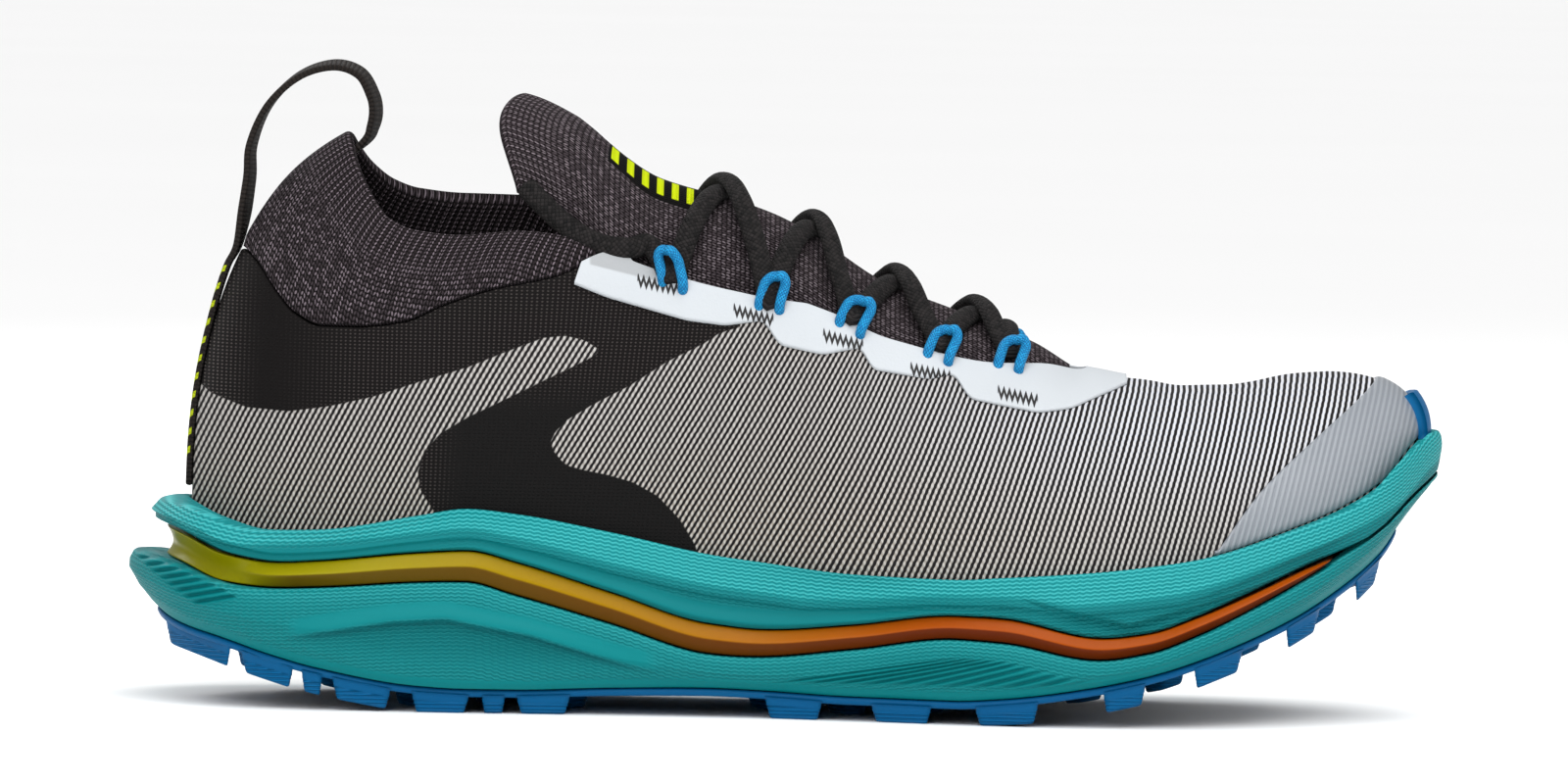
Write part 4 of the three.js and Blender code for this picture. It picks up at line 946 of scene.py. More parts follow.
class ShoeColours(PropertyGroup):
    """Colours of the shoe"""

    foam: colour_property("Foam", "Foam of both midsole layers", 0, 112, 115)
    # painted light: lighter foam colour for the band under the rim, which faces up
    foam_painted_light: colour_property("Light foam", "Upper band of the foam's skin", 12, 140, 143)
    rubber: colour_property("Rubber", "Outsole and toe guard", 0, 84, 128)
    band_heel: colour_property("Band at the heel", "Colour of the band at the heel", 136, 132, 0)
    band_toe: colour_property("Band at the toe", "Colour of the band at the toe", 152, 66, 0)
    overlay: colour_property("Overlay", "Eyestay", 170, 175, 179)
    stripe_light: colour_property("Light stripe", "Light yarn of the woven upper", 190, 188, 184)
    stripe_dark: colour_property("Dark stripe", "Dark yarn of the woven upper", 16, 15, 16)
    knit: colour_property("Knit", "Ground yarn of collar and tongue", 34, 28, 30)
    knit_light: colour_property("Light knit", "Light yarn of collar and tongue", 132, 120, 128)
    lace: colour_property("Lace", "Braided lace", 12, 11, 11)
    loop: colour_property("Eyelet loop", "Cord eyelets", 0, 122, 182)
    label: colour_property("Label", "Bright marks on tongue and heel strip", 206, 224, 10)
    webbing: colour_property("Webbing", "Heel strip and pull loop", 30, 25, 22)


def sizes():
    return bpy.context.scene.shoe_sizes


def colours():
    return bpy.context.scene.shoe_colours


# Finishes


def lace_finish():
    made, net, shader = material("lace_braid", 0.85, Specular_IOR_Level=0.2)
    braid = net.group(shared("Braid", braid_group), Place=net.fabric(), Strand=1.15)
    grain = net.group(shared("Grain", grain_group), Scale=1400.0)
    lit = net.colour(net.times(braid.outputs[1], 0.6), colours().lace[:], srgb(46, 42, 42))
    lit = net.colour(net.step(braid, 0.0, 0.5), srgb(3, 3, 3), lit)
    net.feed(shader.inputs["Base Color"], lit)
    height = net.plus(braid, net.times(grain, 0.15))
    net.feed(shader.inputs["Normal"], net.bump(height, 0.00035))
    return made


def loop_finish():
    made, net, shader = material("loop_cord", 0.6, Specular_IOR_Level=0.3)
    braid = net.group(shared("Braid", braid_group), Place=net.fabric(), Strand=0.8)
    bright = net.colour(braid.outputs[1], colours().loop[:], srgb(20, 150, 208))
    bright = net.colour(net.step(braid, 0.0, 0.6), srgb(0, 66, 112), bright)
    net.feed(shader.inputs["Base Color"], bright)
    net.feed(shader.inputs["Normal"], net.bump(braid, 0.0003))
    return made


def tongue_label(net, ground):
    """Dark patch over the tongue's crest with plain bright bars across it."""
    along = net.attribute("along")
    side = net.size(net.attribute("across"))
    patch = net.times(net.step(along, 20.5, 20.9), net.step(along, 42.4, 42.0))
    patch = net.times(patch, net.step(side, 9.0, 8.7))
    bar = net.step(net.wave(net.over(along, 3.4), 0.5), 0.25, 0.29)
    bar = net.times(bar, net.step(side, 7.6, 7.3))
    bar = net.times(bar, net.step(side, 1.2, 1.5))
    made = net.colour(patch, ground, srgb(10, 9, 9))
    return net.colour(net.times(patch, bar), made, colours().label[:])


def knit_finish(name, dark, light, wale, course, label=False):
    """Knit with dark ground and light yarn on single strokes. The mask ribs, where the piece has
    it, gathers the light yarn into ribs that run up the piece."""
    made, net, shader = material(name, 0.95, Specular_IOR_Level=0.12)
    place = net.fabric()
    yarn = net.group(
        shared("Yarn", yarn_group), Place=place, Wale=wale, Course=course, Slant=0.9
    )
    grain = net.group(shared("Grain", grain_group), Scale=2600.0)
    ribs = net.attribute("ribs")
    u = net.uv().outputs[0]
    rib = net.wave(net.over(u, wale * 1.2), 0.5)
    rib = net.step(rib, 0.1, 0.4)
    flecked = net.step(yarn.outputs[1], 0.3, 0.9)
    flecked = net.plus(net.times(flecked, 0.75), net.times(grain, 0.3))
    shown = net.add("ShaderNodeMix", named={0: ribs, 2: flecked, 3: net.times(rib, 0.8)})
    shown = net.times(shown, net.step(yarn, 0.25, 0.8), clamp=True)
    tint = net.colour(shown, dark, light)
    deep = net.colour(net.step(yarn, 0.0, 0.45), srgb(5, 4, 4), tint)
    if label:
        deep = tongue_label(net, deep)
    net.feed(shader.inputs["Base Color"], deep)
    ribbed = net.plus(rib, net.times(yarn, 0.5))
    raised = net.add("ShaderNodeMix", named={0: ribs, 2: yarn, 3: ribbed})
    net.feed(shader.inputs["Normal"], net.bump(raised, 0.0006))
    return made


# Stage


class SHOE_OT_stage(Operator):
    """Camera at the photo's angle, plain pale floor and soft light"""

    bl_idname = "shoe.stage"
    bl_label = "Stage"

    ELEVATION = math.radians(2.5)
    ROLL = math.radians(1.07)
    DISTANCE = 3000
    VIEW_WIDTH = 351.9
    AIM = (148.2, -40.0, 73.6)
    FLOOR_REACH = 30000
    SUN = 2.1

    def camera(self):
        """The view runs along +y, tipped down by the elevation, then rolled about itself."""
        e, a = self.ELEVATION, self.ROLL
        ahead = Vector((0, math.cos(e), -math.sin(e)))
        up, right = Vector((0, math.sin(e), math.cos(e))), Vector((1, 0, 0))
        side = right * math.cos(a) + up * math.sin(a)
        top = up * math.cos(a) - right * math.sin(a)
        data = bpy.data.cameras.new("camera")
        data.sensor_width = 36
        data.lens = 36 * self.DISTANCE / self.VIEW_WIDTH
        data.clip_end = 50
        camera = bpy.data.objects.new("camera", data)
        place = Vector(to_frame(self.AIM)) - ahead * self.DISTANCE * MM
        turned = Matrix((side, top, -ahead)).transposed()
        camera.matrix_world = Matrix.Translation(place) @ turned.to_4x4()
        bpy.context.scene.collection.objects.link(camera)
        bpy.context.scene.camera = camera

    def floor(self):
        """A flat floor that reaches past the view on all sides."""
        reach = self.FLOOR_REACH
        points = np.array([(-reach, -reach, 0), (reach, -reach, 0), (reach, reach, 0), (-reach, reach, 0)])
        piece = make_mesh("floor", points, np.array([[0, 1, 2, 3]]), closed=False)
        made, net, shader = material("floor_paper", 0.9, Specular_IOR_Level=0.1)
        tone = net.noise(net.object_place(), 1.6, 2.0)
        net.feed(shader.inputs["Base Color"], net.colour(tone, srgb(247, 247, 247), srgb(250, 250, 250)))
        dress(piece, made)

    def sun(self):
        data = bpy.data.lights.new("sun", "SUN")
        data.energy, data.angle = self.SUN, math.radians(55)
        lamp = bpy.data.objects.new("sun", data)
        lamp.rotation_euler = Vector((0.35, -0.75, 1.6)).to_track_quat("Z", "Y").to_euler()
        bpy.context.scene.collection.objects.link(lamp)

    def lamp(self, name, place, aim, size, watts):
        data = bpy.data.lights.new(name, "AREA")
        data.shape, data.size, data.size_y, data.energy = "RECTANGLE", size[0], size[1], watts
        lamp = bpy.data.objects.new(name, data)
        lamp.location = place
        lamp.rotation_euler = (Vector(aim) - Vector(place)).to_track_quat("-Z", "Y").to_euler()
        bpy.context.scene.collection.objects.link(lamp)

    def execute(self, context):
        self.camera()
        self.floor()
        self.sun()
        self.lamp("lamp_top", (0.1, -0.3, 1.3), (0, 0, 0), (1.6, 1.2), 3)
        self.lamp("lamp_front", (-0.5, -1.5, 0.75), (0, 0, 0.05), (1.2, 1.0), 13)
        self.lamp("lamp_side", (1.3, -0.7, 0.7), (0, 0, 0.05), (0.8, 0.8), 5)
        self.lamp("lamp_back", (-0.7, 1.1, 1.0), (0, 0, 0.05), (1.2, 0.8), 11)
        world = bpy.data.worlds.new("pale")
        world.use_nodes = True
        back = world.node_tree.nodes["Background"]
        back.inputs[0].default_value = (1, 1, 1, 1)
        back.inputs[1].default_value = 0.42
        context.scene.world = world
        context.scene.view_settings.view_transform = "Standard"
        return {"FINISHED"}


# Laces


LACE_APEX = 3.6  # the lace turns this far inside the tip of a loop
LACE_LIFT = 1.7
LACE_SINK = 0.8  # the lower arm lies this deep in the soft tongue
LACE_HUMP = 2.8
LOOP_LEANS = (-2.6, 2.0, 2.4, 2.4, 1.6)  # tip of each loop ahead of its foot


def loop_tip(x):
    return throat_half(x) - across_for(x, LOOP_REACH)


def lace_arm(row_from, row_to, side, hump):
    """Plan and lift of one arm: a straight run from a loop to the next one on the other side, in
    an arc over the other arm where it has a hump."""
    share = np.array([0, 0.07, 0.2, 0.35, 0.5, 0.65, 0.8, 0.93])
    xs, xe = LACE_ROWS[row_from], LACE_ROWS[row_to]
    ys, ye = side * (loop_tip(xs) + LACE_APEX), -side * (loop_tip(xe) + LACE_APEX)
    x = mix(xs, xe, share)
    y = sole_side(x) + mix(ys, ye, share)
    lift = LACE_LIFT + (hump - LACE_SINK) * np.sin(share * math.pi) ** 2
    return np.stack([x, y, lift], -1)


def lace_route():
    """One lace: down from loop to loop across the throat, over the front bar, and back up."""
    parts, side = [], -1
    for row in range(4):
        parts.append(lace_arm(row, row + 1, side, LACE_HUMP if side > 0 else 0))
        side = -side
    parts.append(lace_arm(4, 4, side, 0))
    side = -side
    for row in range(4, 0, -1):
        parts.append(lace_arm(row, row - 1, side, LACE_HUMP if side < 0 else 0))
        side = -side
    end_x = LACE_ROWS[0]
    last = np.array([[end_x, sole_side(end_x) + side * (loop_tip(end_x) + LACE_APEX), LACE_LIFT]])
    return np.concatenate([*parts, last])


LACE_END = ((117, 0.76), (112.5, 1.08), (107, 1.34), (101, 1.41), (95, 1.42), (88.4, 1.36))
LACE_END_LIFT = (2.3, 2.2, 2.2, 2.2, 1.9, 0.6)


def lace_end_path(side):
    """From the top loop back beside the tongue, sinking in between tongue and collar."""
    x = LACE_ROWS[0]
    y = sole_side(x) + side * (loop_tip(x) + LACE_APEX)
    start, normal = over_skin(np.array([x]), np.array([y]), np.array([LACE_LIFT]))
    xs, swings = (np.array(k, float) for k in zip(*LACE_END))
    here = tongue_point(xs, swings * side)
    ahead = tongue_point(xs + 0.5, swings * side) - here
    up = tongue_point(xs, (swings + 0.02) * side) - here
    out = unit(np.cross(ahead, up)) * side
    points = here + out * np.array(LACE_END_LIFT)[:, None]
    return np.concatenate([start, points]), np.concatenate([normal, out])


class SHOE_OT_laces(Operator):
    """Braided lace through the eyelets, with both free ends, and the cord eyelets"""

    bl_idname = "shoe.laces"
    bl_label = "Laces and eyelets"

    def end(self, side, name, finish):
        points, normals = lace_end_path(side)
        both = smooth_line(np.concatenate([points, normals * 10], -1), 120)
        path, up = both[:, :3], unit(both[:, 3:])
        wide, thick = sizes().lace_width / MM, sizes().lace_thickness / MM
        piece = dress(sweep(name, path, up, wide, thick, 20), finish)
        put(piece, "lace", name)
        length = float(np.linalg.norm(np.diff(path, axis=0), axis=-1).sum()) * MM
        to_frame(path[0])
        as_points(to_frame(path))

    def loop(self, row, side, name, finish):
        """A hoop of cord: two legs from the eyestay, and a half circle that rises over the lace."""
        x = LACE_ROWS[row]
        half = 2.3
        angle = np.linspace(0, math.pi, 9)
        u = np.concatenate([[-half, -half], -half * np.cos(angle), [half, half]])
        v = np.concatenate([[-2.2, -0.4], 3.2 + 2.4 * np.sin(angle), [-0.4, -2.2]])
        # the hoop leans: the first one back, the others towards the toe
        u = u + LOOP_LEANS[row] * np.clip(v, 0, None) / LOOP_REACH
        rise = np.where(u < LOOP_LEANS[row] * np.clip(v, 0, None) / LOOP_REACH, -0.9, 0.0)
        lift = 2.2 + np.concatenate([[-2.0, 0.4], 1.6 + 1.4 * np.sin(angle), [0.4, -2.0]]) + rise
        px = x + u
        py = sole_side(px) + side * (throat_half(x) - across_for(x, 1.0) * v)
        points, normal = over_skin(px, py, lift)
        both = smooth_line(np.concatenate([points, normal * 10], -1), 90)
        cord = sizes().loop_cord / MM
        piece = sweep(name, both[:, :3], unit(both[:, 3:]), cord, cord, 12)
        put(dress(piece, finish), "loop_cord", name)

    def execute(self, context):
        finish, cord = lace_finish(), loop_finish()
        self.end(-1, "lace_end_lateral", finish)
        self.end(1, "lace_end_medial", finish)
        route = lace_route()
        points, normals = over_skin(route[:, 0], route[:, 1], route[:, 2])
        both = smooth_line(np.concatenate([points, normals * 10], -1), 1100)
        wide, thick = sizes().lace_width / MM, sizes().lace_thickness / MM
        piece = sweep("laces", both[:, :3], unit(both[:, 3:]), wide, thick, 20)
        put(dress(piece, finish), "lace", "laces")
        for row in range(5):
            for side, label in ((-1, "lateral"), (1, "medial")):
                self.loop(row, side, f"lace_loop_{label}_{row + 1}", cord)
        return {"FINISHED"}


# Panels over the last

# Lean of the light stripes: x gained with each millimetre of height
STRIPE_LEAN = table(
    "along lean",
    (0.0, 0.5),
    (0.2, 0.5),
    (0.34, 0.6),
    (0.5, 0.56),
    (0.6, 0.42),
    (0.71, 0.33),
    (0.82, 0.27),
    (0.91, 0.25),
    (1.0, 0.25),
)
stripe_lean = curve(STRIPE_LEAN, "lean", 1)
STRIPE_LEVEL = 60

# Soft creases behind the toe box: place at the top, lean, depth and width of each trough
CREASES = table(
    "x lean depth width",
    (214.0, 0.45, 0.5, 4.0),
    (224.0, 0.3, 0.65, 4.5),
    (236.0, 0.1, 0.7, 5.0),
    (249.0, -0.15, 0.35, 5.0),
)
CREASE_TOP = 74
CREASE_FOOT = 44


def creases(x, z):
    """Troughs with raised lips: each falls off as a bell across its own slanted line, and fades
    down the side."""
    depth = np.zeros_like(x)
    for middle, lean, deep, width in zip(*(CREASES[k] for k in ("x", "lean", "depth", "width"))):
        off = x - middle - lean * (z - CREASE_TOP)
        lips = bell(np.abs(off), width * 2.1, width)
        depth = depth - deep * (bell(off, 0, width) - 0.45 * lips)
    return depth * ease((z - CREASE_FOOT) / 22)


def stripe_place(x, z):
    """Foot of the stripe through a place: the place is carried down the stripe's lean to one
    level, in steps that follow the lean as it changes."""
    here = x
    for _ in range(8):
        here = here + stripe_lean(here) * (STRIPE_LEVEL - z) / 8
    return here


def skin_solid(name, turns, low, high, out, shares, inner_shares=None, edge=0.8, wrap=False,
               partner=None, skirt=None, masks=None):
    """Closed panel over the last. Each column of turns is a ring: up the outer face from low to
    high, and down the inner face. The outer face rolls down to the inner one over the length
    edge at its borders. Columns that reach the ridge meet those of the other side there, column
    by column as partner gives them. out holds the inner and the outer distance from the skin.
    masks turns points, side and share of the rise into named values."""
    inner_shares = shares if inner_shares is None else inner_shares
    m, count = len(shares), len(turns)
    ridge = high >= 1

    def face(at, thick):
        rises = mix(low[:, None], high[:, None], at[None, :])
        base = last_point(turns[:, None], rises, 0.0)
        return last_point(turns[:, None], rises, thick + creases(base[..., 0], base[..., 2]))

    span = np.linalg.norm(face(np.array([1.0]), 0.0) - face(np.array([0.0]), 0.0), axis=-1)
    below = shares[None, :] * span
    above = np.where(ridge[:, None], edge, (1 - shares[None, :]) * span)
    if skirt is not None:
        below = np.full_like(below, edge)
    near = np.clip(np.minimum(below, above) / edge, 0, 1)
    rolled = mix(0.3, 1, np.sqrt(1 - (1 - near) ** 2))
    outer = face(shares, out[0] + (out[1] - out[0]) * rolled)
    inner = face(inner_shares, out[0])[:, ::-1]
    points = np.concatenate([outer, inner], 1)
    side = np.concatenate([np.zeros(m), np.ones(len(inner_shares))])
    share = np.concatenate([shares, inner_shares[::-1]])
    if skirt is not None:
        first, last = points[:, :1].copy(), points[:, -1:].copy()
        first[..., 2] = last[..., 2] = skirt[:, None]
        points = np.concatenate([first, points, last], 1)
        side = np.concatenate([[0], side, [1]])
        share = np.concatenate([[0], share, [0]])
        m += 1
    rows = points.shape[1]
    faces, _ = net_faces(count, rows, wrap_rows=wrap, wrap_columns=True)
    if partner is not None:
        column = np.arange(count)
        meets = ridge & (partner < column)
        index = np.arange(count * rows)
        for row in (m - 1, m):
            index[column[meets] * rows + row] = partner[meets] * rows + row
        steps = count if wrap else count - 1
        closed = np.zeros((steps, rows), bool)
        closed[:, m - 1] = (ridge & np.roll(ridge, -1))[:steps]
        faces = index[faces[~closed.ravel()]]
    if not wrap:
        half = rows // 2
        i = np.arange(half - 1)
        cap = np.stack([i, i + 1, rows - 2 - i, rows - 1 - i], -1)
        faces = np.concatenate([faces, cap, (cap + (count - 1) * rows)[:, ::-1]])
    x, z = points[..., 0], points[..., 2]
    uv = np.stack([stripe_place(x, z), z], -1)
    values = masks(points, side, share) if masks else None
    return make_mesh(name, points, faces, None, uv, values)


def even_turns(count):
    """Shares of the way round a closed ring, from 0 up to but not including 1."""
    return np.arange(count) / count


def close_steps(count):
    """Shares from 0 to 1, closer together at both ends by half a cosine wave."""
    return 0.5 - 0.5 * np.cos(np.linspace(0, math.pi, count))


# Outline of the dark quarter on each side, in x and z, from the heel round to the front
QUARTER_LINE = np.array([
    (-10.0, 74.6), (14.2, 72.6), (18.5, 69.8), (26.9, 67.1), (36.6, 66.6), (46.2, 68.1),
    (55.9, 70.5), (65.5, 73.8), (77.0, 77.5), (85.3, 81.0), (93.7, 84.3), (98.7, 84.9),
    (103.2, 83.9), (106.4, 81.9), (105.5, 80.6), (99.4, 77.4), (93.9, 74.7), (85.5, 70.4),
    (77.2, 66.3), (71.1, 62.5), (67.5, 58.5), (66.2, 53.7), (66.8, 49.8), (70.0, 44.9),
    (71.0, 30.0), (130.1, 30.0), (129.1, 38.1), (125.3, 44.2), (120.2, 49.4), (114.5, 52.4),
    (108.3, 54.0), (102.7, 55.0), (99.3, 56.0), (96.7, 58.8), (95.9, 61.0), (96.9, 63.3),
    (99.6, 66.1), (105.2, 69.6), (113.5, 74.0), (121.8, 79.5), (129.6, 83.5), (133.5, 86.1),
    (138.0, 87.5), (140.0, 160.0), (-10.0, 160.0),
])


class SHOE_OT_upper(Operator):
    """Woven upper: one hollow shell with stripes, a dark quarter and a lining"""

    bl_idname = "shoe.upper"
    bl_label = "Upper"

    COLUMNS = 840
    ROWS = 68
    INNER_ROWS = 20
    THROAT_TURN = 0.3225

    def turns(self):
        """Even turns, drawn together round the front of the throat."""
        even = even_turns(self.COLUMNS)
        half = np.minimum(even, 1 - even)
        wave = np.sin((half - self.THROAT_TURN) / 0.065 * 2 * math.pi)
        half = half - 0.006 * wave * bell(half, self.THROAT_TURN, 0.035)
        return np.where(even < 0.5, half, 1 - half) * (even > 0)

    def execute(self, context):
        turns = self.turns()
        high = shell_rise(turns)
        foot, _ = plan_point(turns, upper_half, UPPER_HEEL, UPPER_TOE)
        column = np.arange(self.COLUMNS)

        def masks(points, side, share):
            quarter = signed_distance(points[..., [0, 2]], QUARTER_LINE)
            return {"quarter": quarter, "inside": np.broadcast_to(side, quarter.shape)}

        piece = skin_solid(
            "upper",
            turns,
            np.zeros(self.COLUMNS),
            high,
            (-WALL, 0.0),
            np.concatenate([np.linspace(0, 0.97, self.ROWS - 5), np.linspace(0.976, 1, 5)]),
            np.linspace(0, 1, self.INNER_ROWS),
            edge=1.2,
            wrap=True,
            partner=(self.COLUMNS - column) % self.COLUMNS,
            skirt=footbed(foot) + GAP,
            masks=masks,
        )
        put(dress(piece, upper_finish()), "woven_upper", "upper")
        return {"FINISHED"}


def upper_finish():
    """Light twill stripes on dark ground; the quarter is charcoal mesh with light dots, and its
    saddle is plain black; the inside is a dark lining."""
    made, net, shader = material("woven_upper", 0.85, Specular_IOR_Level=0.15)
    uv = net.uv()
    u, v = uv.outputs[0], uv.outputs[1]
    pitch = sizes().stripe_pitch / MM
    place = net.object_place()
    at = net.add("ShaderNodeSeparateXYZ", place)
    wobble = net.times(net.noise(place, 90.0, 1.0), 0.35)
    across = net.over(net.plus(u, wobble), pitch)
    line = net.wave(across, 0.5)
    twill = net.wave(net.plus(net.over(v, 1.25), across), 0.5)
    edge = net.plus(0.235, net.times(twill, 0.13))
    light = net.step(line, net.plus(edge, 0.05), net.minus(edge, 0.07))
    fibre = net.noise(place, 2600.0, 2.0, 0.7)
    warm = net.step(at.outputs[2], 0.07, 0.04)
    toeward = net.step(at.outputs[0], 0.0, 0.09)
    cool = net.colour(toeward, srgb(154, 149, 146), srgb(202, 205, 214))
    base = net.colour(net.times(warm, 0.7), cool, srgb(146, 136, 122))
    base = net.colour(net.times(twill, 1.2), base, colours().stripe_light[:])
    dark = net.colour(net.times(fibre, 0.5), colours().stripe_dark[:], srgb(40, 38, 38))
    shade = net.times_plus(net.plus(fibre, twill), 0.3, 0.72)
    base = net.colour(1.0, base, net.add("ShaderNodeCombineXYZ", shade, shade, shade), "MULTIPLY")
    stripes = net.colour(light, dark, base)
    lean = net.times_plus(v, 0.5, u)
    dot_u = net.wave(net.over(lean, 1.05), 0.5)
    dot_v = net.wave(net.over(v, 0.8), 0.5)
    dots = net.step(net.times(dot_u, dot_v), 0.07, 0.16)
    near_heel = net.step(at.outputs[0], -0.118, -0.131)
    ahead = net.times(net.step(at.outputs[0], -0.118, -0.095), 0.55)
    lit = net.times(net.math("MAXIMUM", near_heel, ahead), dots)
    mesh = net.colour(net.times(lit, 0.8), srgb(10, 7, 7), srgb(84, 78, 76))
    low = net.step(at.outputs[2], 0.078, 0.066)
    solid = net.times(low, net.step(at.outputs[0], -0.082, -0.072))
    matte = net.colour(net.times(fibre, 0.6), srgb(9, 8, 8), srgb(20, 18, 18))
    in_quarter = net.step(net.attribute("quarter"), -0.15, 0.15)
    tone = net.colour(in_quarter, stripes, net.colour(solid, mesh, matte))
    lining = net.colour(fibre, srgb(8, 7, 7), srgb(22, 20, 20))
    inside = net.step(net.attribute("inside"), 0.4, 0.6)
    net.feed(shader.inputs["Base Color"], net.colour(inside, tone, lining))
    thread = net.times(light, net.times_plus(twill, 0.5, 0.75))
    thread = net.times_plus(fibre, 0.2, thread)
    dotted = net.times_plus(fibre, 0.3, net.times(dots, 0.5))
    height = net.add("ShaderNodeMix", in_quarter, None, thread, dotted)
    net.feed(shader.inputs["Normal"], net.bump(height, 0.00045))
    return made


class SHOE_OT_collar(Operator):
    """Knitted ankle cuff with a thick rolled rim"""

    bl_idname = "shoe.collar"
    bl_label = "Knit collar"

    COLUMNS = 440
    ROWS = 34
    LEAST = 0.8
    RIM = 1.5

    def execute(self, context):
        turns = (np.linspace(-0.25, 0.25, self.COLUMNS + 1)) % 1
        low, high = knit_rise(turns, GAP / 2), open_rise(turns)
        foot, top = last_point(turns, low), last_point(turns, high)
        kept = top[:, 2] - foot[:, 2] > self.LEAST
        turns, low, high, foot, top = (k[kept] for k in (turns, low, high, foot, top))
        span = np.linalg.norm(top - foot, axis=-1)[:, None]
        # the outer and inner faces run up to a half round rim
        flat = np.linspace(0, 1, self.ROWS)[None, :] * np.maximum(1 - self.RIM / span, 0.2)
        angle = np.linspace(0, math.pi, 11)[None, 1:-1]
        round_up = np.maximum(1 - self.RIM / span, 0.2)
        round_up = round_up + (1 - round_up) * np.sin(angle)
        middle, half = KNIT_PROUD - KNIT_WALL / 2, KNIT_WALL / 2
        shares = np.concatenate([flat, round_up, flat[:, ::-1]], 1)
        out = np.concatenate([
            np.full(flat.shape, middle + half),
            np.broadcast_to(middle + half * np.cos(angle), round_up.shape),
            np.full(flat.shape, middle - half),
        ], 1)
        # the knit's lower edge is tucked level with the woven shell, and its body swells softly
        height = shares * span
        out = out + np.where(out > middle, -0.55 * bell(height, 0, 1.4) + 0.35 * bell(shares, 0.5, 0.3), 0)
        rises = mix(low[:, None], high[:, None], shares)
        rings = last_point(turns[:, None], rises, out)
        # the rim stands higher on the inner side of the ankle than on the outer side
        inner_side = np.clip((rings[..., 1] - sole_side(rings[..., 0])) / 24, -1, 1)
        reach = ease((rings[..., 0] - 30) / 18) * ease((104 - rings[..., 0]) / 16)
        rings[..., 2] += shares**2 * reach * np.where(inner_side > 0, 3.0, 1.8) * inner_side
        run = np.concatenate([[0], np.cumsum(np.linalg.norm(np.diff(top, axis=0), axis=-1))])
        v = (span - height) * np.where(out >= middle - 0.4, 1, -1)
        uv = np.stack(np.broadcast_arrays(run[:, None], v), -1)
        ribs = ease((15 - (span - height)) / 6)
        piece = rings_mesh("knit_collar", rings, uv, {"ribs": ribs, "edge": height})
        finish = knit_finish("knit_collar", colours().knit[:], colours().knit_light[:], 1.35, 1.1)
        put(dress(piece, finish), "knit", "knit_collar")
        return {"FINISHED"}


def rings_mesh(name, rings, uv, masks=None):
    """Closed solid through rings that start and end on opposite faces of a wall, each ring with
    as many points on one face as on the other."""
    count, rows = rings.shape[:2]
    faces, _ = net_faces(count, rows, wrap_columns=True)
    i = np.arange(rows // 2 - (1 if rows % 2 == 0 else 0))
    cap = np.stack([i, i + 1, rows - 2 - i, rows - 1 - i], -1)
    faces = np.concatenate([faces, cap, (cap + (count - 1) * rows)[:, ::-1]])
    return make_mesh(name, rings, faces, None, uv, masks)


class SHOE_OT_tongue(Operator):
    """Knitted tongue with a raised ribbed tip, a piped edge and a plain bright label"""

    bl_idname = "shoe.tongue"
    bl_label = "Tongue"

    STATIONS = 300
    ROWS = 60
    SWING = 1.45

    def execute(self, context):
        far = TONGUE_FRONT - TONGUE_TIP
        share = np.linspace(0, 1, self.STATIONS)
        x = TONGUE_TIP + far * share**1.15
        swing = np.linspace(-self.SWING, self.SWING, self.ROWS)
        half = TONGUE_THICKNESS / 2
        # the wall thins as a round edge at the tip and at both sides
        tip = np.sqrt(1 - np.clip(1 - (x - TONGUE_TIP) / half, 0, 1) ** 2)
        side_mm = (self.SWING - np.abs(swing)) * TONGUE_HALF * 0.5
        side = np.sqrt(1 - np.clip(1 - side_mm / half, 0, 1) ** 2)
        thick = TONGUE_THICKNESS * np.maximum(tip[:, None] * side[None, :], 0.12)
        outer = tongue_point(x[:, None], swing[None, :])
        ahead = tongue_point(x[:, None] + 0.4, swing[None, :]) - outer
        across = tongue_point(x[:, None], swing[None, :] + 0.02) - outer
        normal = unit(np.cross(ahead, across))
        back = 4.2 * np.sin(np.clip(np.abs(swing) / self.SWING, 0, 1) * math.pi) ** 1.2
        outer[..., 0] -= back[None, :] * ease((TONGUE_TIP + 26 - x) / 26)[:, None]
        top = outer - normal * (half - thick / 2)[..., None]
        low = outer - normal * (half + thick / 2)[..., None]
        rings = np.concatenate([top, low[:, ::-1]], 1)
        run_x = np.broadcast_to((x - TONGUE_TIP)[:, None], top.shape[:2])
        run_y = top[..., 1] - sole_side(x)[:, None]
        steps = np.linalg.norm(np.diff(top, axis=1), axis=-1)
        arc = np.concatenate([np.zeros((len(x), 1)), np.cumsum(steps, 1)], 1)
        arc = arc - arc[:, self.ROWS // 2][:, None]
        uv = np.stack([arc, run_x], -1)
        uv = np.concatenate([uv, uv[:, ::-1]], 1)
        rim = ease((13 - run_x) / 5)
        masks = {
            "ribs": np.concatenate([rim, rim[:, ::-1]], 1),
            "across": np.concatenate([run_y, run_y[:, ::-1]], 1),
            "along": np.concatenate([run_x, run_x[:, ::-1]], 1),
        }
        piece = rings_mesh("tongue", rings, uv, masks)
        finish = knit_finish("knit_tongue", srgb(50, 43, 46), srgb(136, 125, 131), 1.35, 1.1, label=True)
        put(dress(piece, finish), "knit", "tongue")
        return {"FINISHED"}


# Lower edge of the eyestay on both sides: a step down after each eyelet, x and z
EYESTAY_LINE = np.array([
    (94.0, 98.9), (97.0, 97.6), (108.0, 93.4), (125.9, 88.6), (134.7, 87.6), (143.4, 88.9), (146.8, 83.5),
    (156.8, 81.5), (165.5, 83.2), (167.8, 78.4), (181.0, 76.4), (186.5, 77.6), (189.9, 72.2),
    (205.4, 69.2), (214.0, 70.6), (226.2, 75.6),
])


def eyestay_edge(x):
    """The edge's corners are rounded by a mean over 2.4 mm."""
    steps = (-1.2, -0.6, 0.0, 0.6, 1.2)
    return sum(np.interp(x + k, EYESTAY_LINE[:, 0], EYESTAY_LINE[:, 1]) for k in steps) / len(steps)


